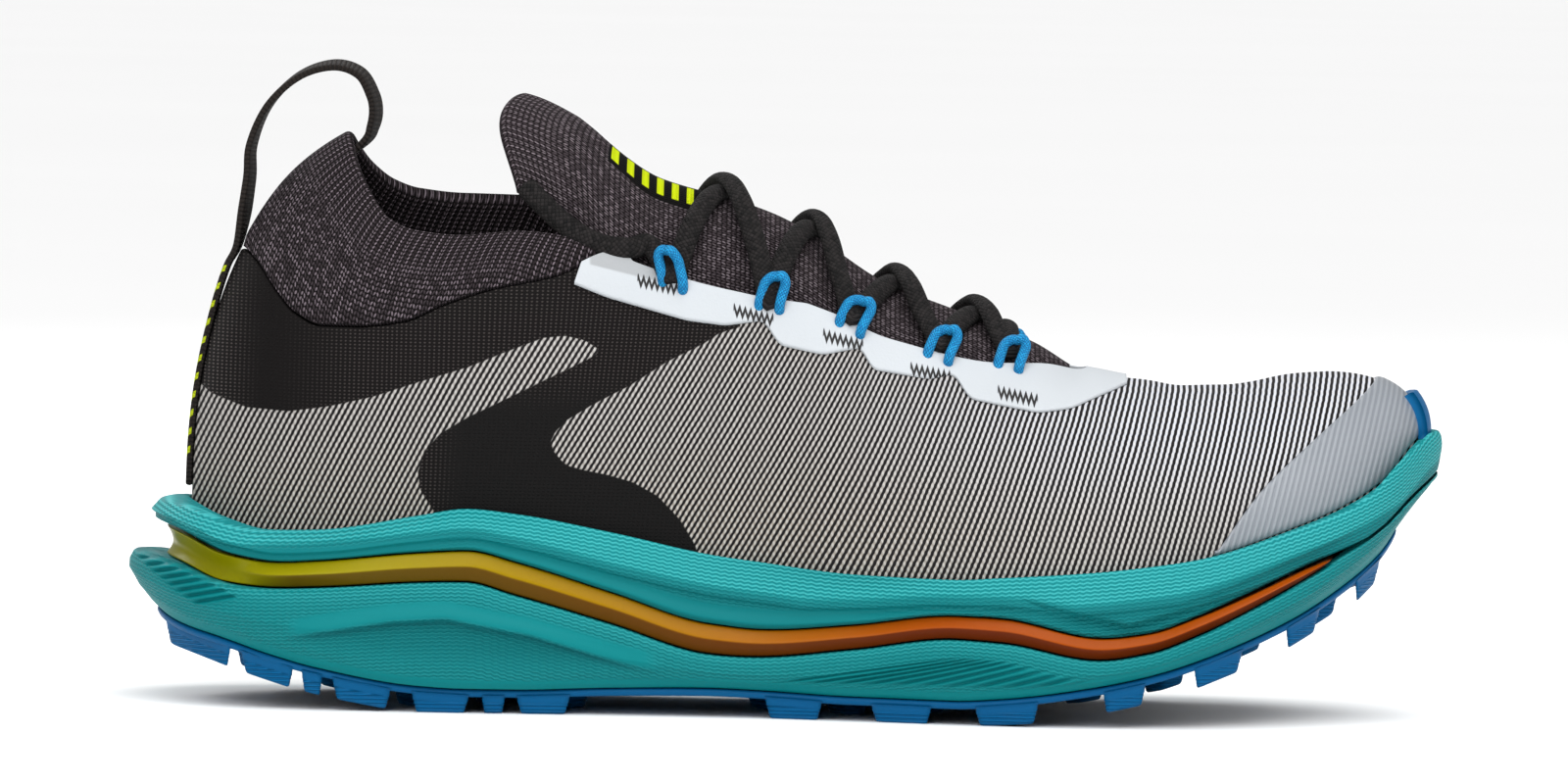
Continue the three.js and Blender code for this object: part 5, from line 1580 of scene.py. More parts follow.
class SHOE_OT_overlays(Operator):
    """Eyestay, toe film and toe guard"""

    bl_idname = "shoe.overlays"
    bl_label = "Overlays"

    EYESTAY_ENDS = (94.5, 225.9)
    LEAST = 0.02

    def eyestay(self):
        start, stop = (float(turn_at(k)) for k in self.EYESTAY_ENDS)
        side = np.linspace(start, stop, 420)
        turns = np.concatenate([1 - side, side[::-1]])
        high = shell_rise(turns)
        low = rise_to(turns, lambda p, medial: p[..., 2] >= eyestay_edge(p[..., 0]))
        low = np.minimum(low, high - self.LEAST)
        partner = len(turns) - 1 - np.arange(len(turns))
        piece = skin_solid(
            "eyestay", turns, low, high, (OVERLAY_GAP - 0.35, OVERLAY_GAP + OVERLAY * 0.45),
            close_steps(24), edge=0.3, partner=partner,
        )
        put(dress(piece, eyestay_finish()), "overlay_white", "eyestay")

    def toe_band(self, name, back, test, columns, rows, out, edge):
        start = float(turn_at(back))
        turns = np.linspace(start, 1 - start, columns)
        foot, _ = plan_point(turns, upper_half, UPPER_HEEL, UPPER_TOE)
        level = rim_top(foot) - GAP
        low = rise_to(turns, lambda p, medial: p[..., 2] >= (level if p.ndim == 2 else level[:, None]))
        high = np.maximum(low + 0.012, rise_to(turns, test))
        partner = len(turns) - 1 - np.arange(len(turns))
        return skin_solid(name, turns, low, high, out, close_steps(rows), edge=edge, partner=partner)

    def execute(self, context):
        self.eyestay()
        film = self.toe_band(
            "toe_cap", 0.822 * LENGTH, lambda p, medial: p[..., 2] >= toe_cap_edge(p[..., 0]),
            420, 34, (OVERLAY_GAP - 0.45, OVERLAY_GAP + OVERLAY * 0.4), 1.6,
        )
        put(dress(film, film_finish()), "toe_film", "toe_cap")
        top = mix(rim_top(UPPER_TOE), ridge_height(spine(UPPER_TOE)), BUMPER_TOP)
        lowest = rim_top(BUMPER_BACK) + BUMPER_LEAST

        def under_top(p, medial):
            reach = upper_half(p[..., 0]) * BUMPER_SPREAD
            across = np.clip(np.abs(p[..., 1] - sole_side(p[..., 0])) / reach, 0, 1)
            return p[..., 2] >= mix(top, lowest, across**2)

        inner = OVERLAY_GAP * 2 + OVERLAY
        skin = (inner - 1.1, inner + BUMPER_THICKNESS * 0.7)
        guard = self.toe_band("toe_bumper", BUMPER_BACK, under_top, 160, 22, skin, 0.5)
        put(dress(guard, rubber_finish("toe_guard")), "rubber", "toe_bumper")
        return {"FINISHED"}


def eyestay_finish():
    """White coated film: fine grain, a painted shadow of the lace end as a grey patch at its back
    end, and dark zigzag tacks under the eyelets."""
    made, net, shader = material("eyestay_film", 0.55, Specular_IOR_Level=0.3)
    grain = net.group(shared("Grain", grain_group), Scale=1500.0)
    tone = net.colour(grain.outputs[1], colours().overlay[:], srgb(184, 188, 192))
    at = net.add("ShaderNodeSeparateXYZ", net.object_place())
    x = net.minus(net.over(at.outputs[0], MM), HEEL_X)
    z = net.over(at.outputs[2], MM)
    # painted shadow of the lace end: a grey patch along the top of the back end
    above = net.plus(z, net.times(net.minus(x, 104.0), 0.233))
    patch = net.times(net.step(above, 100.6, 101.2), net.step(x, 122.4, 121.4))
    patch = net.times(patch, net.step(x, 103.4, 104.4))
    tone = net.colour(net.times(patch, 0.5), tone, srgb(112, 112, 112))
    stitch = None
    for tack_x, tack_z, lean in TACKS:
        u = net.minus(x, tack_x)
        v = net.minus(net.minus(z, tack_z), net.times(u, lean))
        zig = net.wave(u, 0.62)
        zig = net.times_plus(zig, 3.0, -0.95)
        near = net.step(net.size(net.minus(v, zig)), 0.85, 0.5)
        ends = net.step(net.size(u), 4.6, 4.3)
        one = net.times(near, ends)
        stitch = one if stitch is None else net.math("MAXIMUM", stitch, one)
    tone = net.colour(stitch, tone, srgb(22, 20, 20))
    net.feed(shader.inputs["Base Color"], tone)
    height = net.times_plus(stitch, 1.5, net.times(grain, 0.12))
    net.feed(shader.inputs["Normal"], net.bump(height, 0.0004))
    return made


# Middle of each zigzag tack and its slope: x, z, rise with x
TACKS = (
    (119.2, 96.6, -0.2),
    (141.0, 90.2, -0.24),
    (161.3, 84.9, -0.25),
    (181.1, 77.9, -0.2),
    (200.9, 73.0, -0.2),
)


def film_finish():
    """Smooth grey film over the toe, with the stripes showing faintly through it."""
    made, net, shader = material("toe_film", 0.38, Coat_Weight=0.15, Coat_Roughness=0.35)
    uv = net.uv()
    line = net.wave(net.over(uv.outputs[0], sizes().stripe_pitch / MM), 0.5)
    stripe = net.step(line, 0.12, 0.38)
    grain = net.group(shared("Grain", grain_group), Scale=1200.0)
    tone = net.colour(stripe, srgb(134, 139, 145), srgb(112, 117, 124))
    tone = net.colour(net.times(grain.outputs[1], 0.3), tone, srgb(142, 146, 152))
    net.feed(shader.inputs["Base Color"], tone)
    height = net.times_plus(stripe, -0.5, net.times(grain, 0.08))
    net.feed(shader.inputs["Normal"], net.bump(height, 0.00022))
    return made


def rubber_finish(name):
    """Moulded rubber: even satin colour with fine grain, and fine lines on the lug sides."""
    made, net, shader = material(name, 0.42, Specular_IOR_Level=0.1)
    grain = net.group(shared("Grain", grain_group), Scale=1800.0)
    tone = net.colour(grain.outputs[1], colours().rubber[:], srgb(0, 78, 128))
    lines = net.attribute("lines")
    at = net.add("ShaderNodeSeparateXYZ", net.object_place())
    level = net.over(at.outputs[2], MM)
    ripple = net.wave(net.over(level, 0.85), 0.5)
    ripple = net.times(net.step(ripple, 0.1, 0.4), lines)
    tone = net.colour(net.times(ripple, 0.35), tone, srgb(2, 112, 172))
    net.feed(shader.inputs["Base Color"], tone)
    net.feed(shader.inputs["Roughness"], net.times_plus(grain, 0.2, 0.34))
    height = net.times_plus(ripple, 1.2, net.times(grain, 0.15))
    net.feed(shader.inputs["Normal"], net.bump(height, 0.0003))
    return made


# Heel strap: the free loop in x and z, as shares of LENGTH and LAST_HEIGHT
PULL_LOOP = np.array([
    (0.0865, 0.872), (0.088, 0.933), (0.1005, 1.0), (0.1235, 1.05), (0.1495, 1.069),
    (0.1695, 1.056), (0.1795, 1.02), (0.182, 0.992), (0.18, 0.966), (0.1745, 0.942),
])
STRAP_FOOT = 2
STRAP_LEAVES = 0.945
STRAP_TUCK = (0.9, 0.88, 0.86)
STRAP_TWIST = math.radians(10)  # turn of the free loop about itself


class SHOE_OT_heel_strap(Operator):
    """Webbing strip up the heel that ends in the pull loop"""

    bl_idname = "shoe.heel_strap"
    bl_label = "Heel strap"

    def execute(self, context):
        at = np.zeros(1)
        rises = [
            float(rise_to(at, lambda p, medial, level=level: p[..., 2] >= level)[0])
            for level in (STRAP_FOOT + rim_top(UPPER_HEEL), STRAP_LEAVES * COLLAR_HEIGHT)
        ]
        half = STRAP_THICKNESS / 2
        along = last_point(0.0, np.linspace(*rises, 9), KNIT_PROUD + GAP + half)
        spots = PULL_LOOP * [LENGTH, LAST_HEIGHT]
        loop = np.stack([spots[:, 0], np.zeros(len(spots)), spots[:, 1]], -1)
        share = np.array(STRAP_TUCK) * float(open_rise(at)[0])
        inside = last_point(0.0, share, KNIT_PROUD - KNIT_WALL - GAP * 4 - half)
        points = np.concatenate([along, loop, inside])
        points[:, 1] = sole_side(UPPER_HEEL)
        # below the knit the strip lies nearer, on the woven shell
        points[:9, 0] += (1.0, 1.0, 1.0, 1.0, 1.0, 0.9, 0.6, 0.3, 0.3)
        path = smooth_line(points, 420)
        ahead = unit(np.gradient(path, axis=0))
        up = np.stack([-ahead[:, 2], np.zeros(len(path)), ahead[:, 0]], -1)
        share = np.linspace(0, 1, len(path))
        turned = np.cos(math.pi * np.clip((share - 0.42) / 0.46, 0, 1))
        twist = STRAP_TWIST * turned * ease((share - 0.36) / 0.1) * ease((0.95 - share) / 0.08)
        aside = np.array([0.0, 1.0, 0.0])
        up = up * np.cos(twist)[:, None] + aside * np.sin(twist)[:, None]
        piece = sweep("heel_strap", path, up, STRAP_WIDTH, STRAP_THICKNESS, 28, square=0.3)
        put(dress(piece, webbing_finish()), "webbing", "heel_strap")
        return {"FINISHED"}


def webbing_finish():
    """Dark ribbed webbing with bright slanted dashes down its outer face, below the loop."""
    made, net, shader = material("heel_webbing", 0.8, Specular_IOR_Level=0.2)
    uv = net.uv()
    u, v = uv.outputs[0], uv.outputs[1]
    rib = net.wave(net.over(v, 1.0), 0.5)
    rib = net.step(rib, 0.05, 0.4)
    cross = net.wave(net.over(u, 0.9), 0.5)
    weave = net.times(rib, net.times_plus(cross, 1.0, 0.5))
    tone = net.colour(weave, srgb(6, 5, 5), colours().webbing[:])
    grain = net.group(shared("Grain", grain_group), Scale=2200.0)
    tone = net.colour(net.times(grain, 0.25), tone, srgb(58, 48, 42))
    middle = net.minus(u, (STRAP_WIDTH + STRAP_THICKNESS) * math.pi / 8)
    slant = net.times_plus(middle, 0.5, v)
    dash = net.step(net.wave(net.over(slant, 4.2), 0.5), 0.3, 0.34)
    band = net.step(net.size(middle), 5.4, 5.2)
    low = net.times(net.step(v, 6.0, 7.0), net.step(v, 52.0, 51.0))
    shown = net.times(net.times(dash, band), low)
    tone = net.colour(net.times(shown, 0.6), tone, colours().label[:])
    net.feed(shader.inputs["Base Color"], tone)
    net.feed(shader.inputs["Normal"], net.bump(weave, 0.0003))
    return made


class SHOE_OT_insole(Operator):
    """Sock liner on the footbed, with a raised soft edge"""

    bl_idname = "shoe.insole"
    bl_label = "Insole"

    COUNT = 240

    def ring(self, inset, height):
        turns = even_turns(self.COUNT)
        x, y = plan_point(turns, upper_half, UPPER_HEEL, UPPER_TOE, inset)
        return np.stack([x, y, height(x)], -1)

    def execute(self, context):
        inset = WALL + GAP
        top = lambda lift: lambda x: footbed(x) + GAP + INSOLE_THICKNESS + lift
        low = lambda x: footbed(x) + GAP
        rows = [self.ring(inset + 2, low), self.ring(inset + 0.8, low)]
        rows += [self.ring(inset, lambda x, s=s: mix(low(x), top(-0.6)(x), s)) for s in (0.3, 0.7, 1)]
        for inward, lift in ((0.3, -0.2), (0.9, 0), (2, -0.1), (4, -0.6), (9, -1.0), (18, -1.1)):
            rows.append(self.ring(inset + inward, top(lift)))
        rings = np.stack(rows)
        piece = stack_mesh("insole", rings)
        made, net, shader = material("sock_liner", 0.95, Specular_IOR_Level=0.15)
        place = net.object_place()
        fibre = net.noise(place, 1600.0, 3.0, 0.7)
        net.feed(shader.inputs["Base Color"], net.colour(fibre, srgb(18, 18, 19), srgb(52, 50, 52)))
        net.feed(shader.inputs["Normal"], net.bump(fibre, 0.0003))
        put(dress(piece, made), "sock_liner", "insole")
        return {"FINISHED"}


# The sole

CORE_INSET = 7
TOP_FOAM_HEEL = 4
BAND_HEEL = 6
BAND_FRONT = 0.92
BAND_TIP_ROUND = 2
BAND_SEAT = 0.15
TEXTURED_BAND = 7.2  # height of the textured band under the rim, which has painted light

# Lip of the hollow in the side of the lower foam, in mm: height and depth under it
HOLLOW = table(
    "x height depth",
    (36, 16.2, 0.0),
    (45, 17.8, 1.1),
    (61, 20.5, 2.2),
    (73, 21.4, 2.4),
    (92, 18.0, 2.2),
    (113, 12.0, 0.9),
    (124, 9.6, 0.0),
)

# Crease that bends under the forefoot's upper foam, in mm
FOREFOOT_CREASE = table(
    "x height depth",
    (200, 29.5, 0.0),
    (209, 26.9, 0.9),
    (226, 23.1, 1.7),
    (238, 26.6, 1.4),
    (251, 30.6, 0.7),
    (262, 34.5, 0.0),
)


def along_table(rows, column, x):
    return np.interp(x, rows["x"], rows[column])


def sole_ring(turns, inset, height, half=sole_half, heel=0.0, toe=LENGTH, toe_round=TOE_ROUND):
    """Ring of a plan with its own inset, at a height worked out from its place."""
    x, y = plan_point(turns, half, heel, toe, inset, toe_round)
    return np.stack([x, y, height(x)], -1)


def foam_uv(rings, along, depth):
    """Fabric places on a foam layer: length round the shoe, and depth below its top edge."""
    uv = np.stack(np.broadcast_arrays(along[None, :], np.zeros((len(rings), 1))), -1).copy()
    uv[..., 1] = np.concatenate([depth, depth[:, :1]], 1)
    return uv


def forefoot_ribs(x, z):
    """Fan of ribs: each runs up and forward from its own foot, and the slope grows towards the
    toe. 1 on a rib, 0 in a groove, with the whole cluster's soft outline."""
    foot = x
    for _ in range(3):
        slope = mix(0.17, 0.28, ease((foot - 150) / 40))
        foot = x - (z - 8.8) / slope
    wave = 0.5 - 0.5 * np.cos(2 * math.pi * (foot - 151) / 5.9)
    top = np.interp(x, (150, 177, 190, 198, 211, 218), (10.0, 15.4, 16.1, 15.7, 12.6, 11.2))
    low = np.interp(x, (150, 205, 218), (8.4, 8.9, 10.4))
    inside = ease((top - z) / 1.6) * ease((z - low + 0.6) / 1.4)
    return wave, inside * ease((foot - 148) / 3) * ease((212 - foot) / 3)


def heel_ribs(x, z):
    """Even slanted ribs at the back of the heel, and their outline."""
    lean = math.atan(0.2)
    along = math.cos(lean) * x + math.sin(lean) * z
    across = -math.sin(lean) * x + math.cos(lean) * z
    wave = 0.5 - 0.5 * np.cos(2 * math.pi * (32.6 - across) / 1.59)
    start = 7.9 + (32.6 - across) * 1.02
    end = 14.4 + (32.6 - across) * 1.23
    inside = ease((along - start + 1) / 1.4) * ease((end - along + 0.4) / 1.4)
    return wave, inside * ease((across - 18.8) / 0.7) * ease((33.6 - across) / 0.7)


def foam_finish(name):
    """Moulded foam: fine zigzag lines in its skin, with painted highlights (and slight whitish wear) on
    their ridges and painted shade in their grooves; painted light on the band under the rim and on
    other faces that face up, painted shade in recesses, and plain where the mould was polished."""
    made, net, shader = material(name, 0.55, Specular_IOR_Level=0.1)
    line = sizes().foam_line / MM
    place = net.fabric()
    zig = net.group(shared("Zigzag", zigzag_group), Place=place, Line=line, Wave=1.8, Swing=0.32)
    grain = net.group(shared("Grain", grain_group), Scale=1300.0)
    light = net.attribute("light")
    plain = net.attribute("plain")
    # deep marks painted shade: below the light band, under the hollow's lip and in rib grooves
    deep = net.attribute("deep")
    rough = net.minus(1.0, plain)
    # painted light: where light is marked, the foam takes the lighter painted-light colour
    tone = net.colour(net.times(light, 0.55), colours().foam[:], colours().foam_painted_light[:])
    # painted highlight, with slight whitish wear, on the zigzag ridges; stronger in the band with painted
    # light
    ridge = net.times_plus(light, 0.45, 0.12)
    ridge = net.times(net.times(zig, rough), ridge)
    tone = net.colour(ridge, tone, srgb(76, 186, 188))
    # painted shade in the zigzag grooves
    painted_groove_shade = net.times(net.minus(1.0, zig), net.times(rough, 0.35))
    tone = net.colour(painted_groove_shade, tone, srgb(2, 92, 96))
    # painted shade where deep is marked
    tone = net.colour(net.times(deep, 0.6), tone, srgb(1, 78, 84))
    tone = net.colour(net.times(grain.outputs[1], 0.18), tone, srgb(2, 124, 128))
    net.feed(shader.inputs["Base Color"], tone)
    height = net.times(zig, rough)
    height = net.times_plus(grain, 0.12, height)
    net.feed(shader.inputs["Normal"], net.bump(height, 0.00024))
    return made


# Insets of both foam layers at the blunt nose of the toe
TOP_NOSE = table(
    "depth inset",
    (0.0, 4.4),
    (0.1, 3.7),
    (0.3, 2.3),
    (0.5, 1.4),
    (0.75, 0.4),
    (1.0, -0.7),
)
LOW_NOSE = table(
    "depth inset",
    (0.0, -0.6),
    (0.06, -0.6),
    (0.3, -0.5),
    (0.5, -0.3),
    (0.78, 1.2),
    (1.0, 3.7),
)


def toe_close(x):
    """0 behind the tip of the band, 1 ahead of it, where the two foam layers meet."""
    return ease((x - 0.9 * LENGTH) / (0.045 * LENGTH))


def top_foam_floor(x):
    return mix(band_top(x) + GAP, band_middle(x) + 0.06, toe_close(x))


def low_foam_ceiling(x):
    height = mix(band_bottom(x) - GAP, band_middle(x) - 0.06, toe_close(x))
    return np.maximum(height, foam_bottom(x) + 0.5)


class SHOE_OT_foam_upper(Operator):
    """Upper foam layer with the rim that holds the upper"""

    bl_idname = "shoe.foam_upper"
    bl_label = "Upper foam"

    COLUMNS = 1100
    SIDE_ROWS = 38
    DROP = 1.3
    EDGE_ROUND = 0.9
    TOE_OVERHANG = 2.4
    TOE_RAKE = 3.9
    BAND_SHARE = 0.6
    SLOPE_TOP = 4.2
    SLOPE_LOW = 0.9
    UNDERCUT = 0.9
    SWELL = 0.9
    TURN_IN = 1.3
    MEASURED_RING = 12

    def execute(self, context):
        turns = even_turns(self.COLUMNS)
        floor = top_foam_floor

        def lip(out, drop):
            x, y = plan_point(turns, upper_half, UPPER_HEEL, UPPER_TOE, -GAP - out)
            own, _ = plan_point(turns, upper_half, UPPER_HEEL, UPPER_TOE)
            return np.stack([x, y, rim_top(own) - drop], -1)

        inner = sole_ring(turns, -GAP, footbed, upper_half, UPPER_HEEL, UPPER_TOE)
        rings = [inner, lip(0, self.EDGE_ROUND)]
        for angle in np.linspace(0, math.pi * 0.62, 6):
            out = RIM_LIP * (0.5 - 0.5 * math.cos(angle))
            rings.append(lip(out, self.EDGE_ROUND - self.EDGE_ROUND * math.sin(angle)))
        edge = rings[-1]
        for t in np.linspace(0, 1, self.SIDE_ROWS + 1)[1:]:
            toe = LENGTH + self.TOE_OVERHANG - self.TOE_RAKE * t**2
            x, y = plan_point(turns, sole_half, TOP_FOAM_HEEL, toe, 0.0)
            tall = rim_top(x) - self.DROP - floor(x)
            down = t * tall
            band = np.minimum(TEXTURED_BAND, self.BAND_SHARE * tall)
            below = ease((down - band) / 0.9)
            slope = mix(self.SLOPE_TOP, self.SLOPE_LOW, np.clip(down / band, 0, 1) ** 0.85)
            undercut = self.UNDERCUT * below
            swell = self.SWELL * ease((t - 0.72) / 0.2)
            swell = swell * ease((x - 60) / 40) * ease((215 - x) / 40)
            turn_in = self.TURN_IN * ease((t - 0.9) / 0.1) ** 2
            nose = np.interp(t, TOP_NOSE["depth"], TOP_NOSE["inset"])
            inset = mix(slope + undercut - swell + turn_in, nose, toe_close(x))
            crease = along_table(FOREFOOT_CREASE, "height", x)
            deep = along_table(FOREFOOT_CREASE, "depth", x)
            z = mix(rim_top(x) - self.DROP, floor(x), t)
            bulge = deep * 0.6 * ease((z - crease) / 0.7) * ease((crease + 6.5 - z) / 5)
            cut = deep * ease((crease + 0.2 - z) / 0.4) * ease((z - crease + 5) / 5)
            x, y = plan_point(turns, sole_half, TOP_FOAM_HEEL, toe, inset - bulge + cut)
            ring = np.stack([x, y, z], -1)
            rings.append(mix(edge, ring, ease(t / 0.22)))
        rings.append(sole_ring(turns, CORE_INSET, floor, heel=TOP_FOAM_HEEL, toe=LENGTH - 2))
        rings = np.stack(rings)
        u = ring_lengths(rings[self.MEASURED_RING])
        depth = edge[None, :, 2] - rings[..., 2]
        uv = foam_uv(rings, u, depth)
        x = rings[..., 0]
        tall = rim_top(x) - self.DROP - floor(x)
        band = np.minimum(TEXTURED_BAND, self.BAND_SHARE * tall)
        # painted light on the band under the rim, which faces up
        light = ease((band - depth) / 1.2)
        plain = ease((depth - tall * 0.72) / 1.0) * ease((x - 60) / 30) * ease((200 - x) / 40)
        plain = np.maximum(plain, ease((depth - band - 0.3) / 0.8) * ease((92 - x) / 30))
        # painted shade on the recessed stripe below the band
        deep = ease((depth - band + 0.3) / 0.8) * 0.45
        masks = {"light": light, "plain": plain, "deep": deep}
        piece = stack_mesh("midsole_top", rings, uv, masks)
        put(dress(piece, foam_finish("foam_upper")), "foam_upper", "midsole_top")
        return {"FINISHED"}


class SHOE_OT_band(Operator):
    """Coloured band between the foam layers: a ridge that turns into a scoop at the heel"""

    bl_idname = "shoe.band"
    bl_label = "Band"

    COLUMNS = 700
    ROWS = 19
    EDGE_INSET = 1.4
    # Inset at the middle and its growth towards the edges, of the ridge and of the scoop
    RIDGE = (1.3, 1.5)
    SCOOP = (2.6, 1.3)

    def execute(self, context):
        turns = even_turns(self.COLUMNS)
        toe = BAND_FRONT * LENGTH
        half = lambda x: sole_half(x) * end_round(LENGTH - x, TOE_ROUND)
        rings, rows = [], np.linspace(0, 1, self.ROWS)
        plan = dict(half=half, heel=BAND_HEEL, toe=toe, toe_round=BAND_TIP_ROUND)
        low = lambda x: band_bottom(x) + BAND_SEAT
        high = lambda x: band_top(x) - BAND_SEAT
        rings.append(sole_ring(turns, CORE_INSET, low, **plan))
        for t in rows:
            x, _ = plan_point(turns, half, BAND_HEEL, toe, self.EDGE_INSET, BAND_TIP_ROUND)
            off = abs(2 * t - 1)
            ridge = self.RIDGE[0] + self.RIDGE[1] * (math.hypot(off, 0.1) - 0.1)
            scoop = self.SCOOP[0] + self.SCOOP[1] * math.cos(off * math.pi / 2)
            inset = mix(ridge, scoop, ease((34 - x) / 14))
            x, y = plan_point(turns, half, BAND_HEEL, toe, inset, BAND_TIP_ROUND)
            rings.append(np.stack([x, y, mix(low(x), high(x), t)], -1))
        rings.append(sole_ring(turns, CORE_INSET, high, **plan))
        rings = np.stack(rings)
        face = np.concatenate([[0], rows, [1]])
        masks = {"face": np.broadcast_to(face[:, None], rings.shape[:2])}
        piece = stack_mesh("midsole_band", rings, stack_uv(rings), masks)
        put(dress(piece, self.finish()), "band", "midsole_band")
        return {"FINISHED"}

    def finish(self):
        made, net, shader = material("band", 0.3, Specular_IOR_Level=0.1)
        at = net.add("ShaderNodeSeparateXYZ", net.object_place())
        x = net.minus(net.over(at.outputs[0], MM), HEEL_X)
        tone = net.colour(net.step(x, 20.0, 150.0), colours().band_heel[:], srgb(150, 98, 0))
        tone = net.colour(net.step(x, 110.0, 190.0), tone, colours().band_toe[:])
        # painted shade: the ridge's lower face, which faces down, is darkened, except in the heel scoop
        low = net.step(net.attribute("face"), 0.54, 0.46)
        low = net.times(low, net.step(x, 24.0, 40.0))
        dark = net.colour(1.0, tone, srgb(164, 142, 60), "MULTIPLY")
        grain = net.group(shared("Grain", grain_group), Scale=900.0)
        tone = net.colour(low, tone, dark)
        tone = net.colour(net.times(grain, 0.08), tone, srgb(90, 50, 0))
        net.feed(shader.inputs["Base Color"], tone)
        net.feed(shader.inputs["Roughness"], net.times_plus(grain, 0.15, 0.24))
        return made


class SHOE_OT_foam_lower(Operator):
    """Lower foam layer with its hollows, creases and rib clusters"""

    bl_idname = "shoe.foam_lower"
    bl_label = "Lower foam"

    COLUMNS = 1120
    SIDE_ROWS = 74
    ROW_POWER = 0.97
    LIP_BULGE = 0.45
    FORE_RIB, HEEL_RIB = 0.95, 1.0
    FORE_PILLOW, HEEL_PILLOW = 0.5, 0.35
    LIP_FACE = 4.8
    PLAIN_EDGE = 2.6
    SIDE = table(
        "depth inset heel toe",
        (0.0, 2.0, 1.5, -1.5),
        (0.06, 0.7, 0.4, -1.5),
        (0.3, 0.1, 0.0, -2.0),
        (0.5, 0.0, 0.0, -2.5),
        (0.78, 1.2, 1.0, -4.5),
        (0.94, 2.7, 2.2, -6.0),
        (1.0, 3.7, 3.0, -6.5),
    )

    def execute(self, context):
        turns = even_turns(self.COLUMNS)
        ceiling = low_foam_ceiling
        rings = [sole_ring(turns, CORE_INSET, ceiling, heel=TOP_FOAM_HEEL, toe=LENGTH - 2)]
        plain, deep, light = ([np.zeros(self.COLUMNS)] for _ in range(3))
        for t in np.linspace(0, 1, self.SIDE_ROWS) ** self.ROW_POWER:
            base, heel, toe = (
                np.interp(t, self.SIDE["depth"], self.SIDE[k]) for k in ("inset", "heel", "toe")
            )
            toe = LENGTH + toe
            x, _ = plan_point(turns, sole_half, heel, toe, base)
            nose = np.interp(t, LOW_NOSE["depth"], LOW_NOSE["inset"])
            base = mix(base, nose, toe_close(x))
            z = mix(ceiling(x), foam_bottom(x), t)
            lip = along_table(HOLLOW, "height", x)
            hollow = along_table(HOLLOW, "depth", x)
            under = ease((lip - z) / 0.5) * ease((z - foam_bottom(x) - 1.2) / 9)
            above = bell(z, lip + 0.7, 1.9) * self.LIP_BULGE
            wave, cluster = forefoot_ribs(x, z)
            back_wave, back = heel_ribs(x, z)
            pillow = self.FORE_PILLOW * cluster + self.HEEL_PILLOW * back
            relief = cluster * (wave - 1) * self.FORE_RIB
            relief = relief + back * (back_wave - 1) * self.HEEL_RIB + pillow
            inset = base + hollow * (under - above) - relief
            x, y = plan_point(turns, sole_half, heel, toe, inset)
            rings.append(np.stack([x, y, z], -1))
            face = ease((z - lip) / 0.6) * ease((lip + self.LIP_FACE - z) / 1.2)
            face = face * ease((hollow - 0.1) / 0.5)
            border = ease((foam_bottom(x) + self.PLAIN_EDGE - z) / 1.0)
            plain.append(np.maximum.reduce([face, border, cluster, back]))
            # painted shade in the rib grooves and under the hollow's lip
            grooves = cluster * (1 - wave) + back * (1 - back_wave)
            shadow = bell(z, lip - 0.6, 0.8) * np.minimum(hollow, 1)
            shade = 0.35 * under * np.minimum(hollow, 1) + 0.8 * shadow
            deep.append(np.clip(shade + grooves, 0, 1))
            # painted light on the top bevel of the lower foam, which faces up
            light.append(0.35 * ease((0.25 - t) / 0.2) * np.ones(self.COLUMNS))
        rings.append(sole_ring(turns, RUBBER_CORE, foam_bottom, heel=RUBBER_BACK, toe=RUBBER_FRONT))
        for each in (plain, deep, light):
            each.append(np.zeros(self.COLUMNS))
        rings = np.stack(rings)
        u = ring_lengths(rings[self.SIDE_ROWS // 2])
        depth = rings[:1, :, 2] - rings[..., 2]
        uv = foam_uv(rings, u, depth)
        masks = {"plain": np.stack(plain), "deep": np.stack(deep), "light": np.stack(light)}
        piece = stack_mesh("midsole_bottom", rings, uv, masks)
        put(dress(piece, foam_finish("foam_lower")), "foam_lower", "midsole_bottom")
        return {"FINISHED"}


# Lugs down each side of the outsole: start and end as shares of LENGTH
SIDE_LUGS = np.array([
    (0.03, 0.083), (0.09, 0.131), (0.137, 0.153), (0.16, 0.205), (0.22, 0.264), (0.273, 0.291),
    (0.299, 0.34), (0.486, 0.53), (0.566, 0.612), (0.644, 0.692), (0.74, 0.772), (0.808, 0.845),
    (0.878, 0.904), (0.932, 0.952),
])
MIDDLE_LUG_ROWS = (0.1, 0.16, 0.22, 0.28, 0.335, 0.49, 0.55, 0.61, 0.67, 0.73, 0.79, 0.85, 0.905)
MIDDLE_LUG_LENGTH = 9
LUG_REACH = 0.26
BOTTOM_INSET = 3.6
RUBBER_BACK = 3
RUBBER_FRONT = LENGTH - 6.5
RUBBER_CORE = 9.0
# Share of the foam's hollow that the rubber's edge follows
RUBBER_DENT = 0.6


def rubber_top(x):
    return foam_bottom(x) - GAP


def rubber_bottom(x):
    return rubber_top(x) - RUBBER_BASE


def lug_bottom(x):
    return np.maximum(0, rubber_bottom(x) - LUG_HEIGHT)


def rubber_edge(x):
    """Half width of the outsole's edge at a place along the shoe."""
    back, front = RUBBER_BACK + BOTTOM_INSET, RUBBER_FRONT - BOTTOM_INSET
    ends = end_round(x - back, HEEL_ROUND) * end_round(front - x, TOE_ROUND)
    dent = RUBBER_DENT * along_table(HOLLOW, "depth", x)
    return (sole_half(x) - BOTTOM_INSET - dent) * ends


def closed_stack(rings):
    """Points and faces of a body from its rings, closed at both ends and turned outwards."""
    faces, _ = net_faces(*rings.shape[:2], wrap_columns=True)
    count = rings.shape[1]
    last = (len(rings) - 1) * count
    caps = np.concatenate([ladder(0, count, True), ladder(last, count, False)])
    faces = np.concatenate([faces, caps])
    points = rings.reshape(-1, 3)
    if signed_volume(points, faces) < 0:
        faces = faces[:, ::-1]
    return points, faces


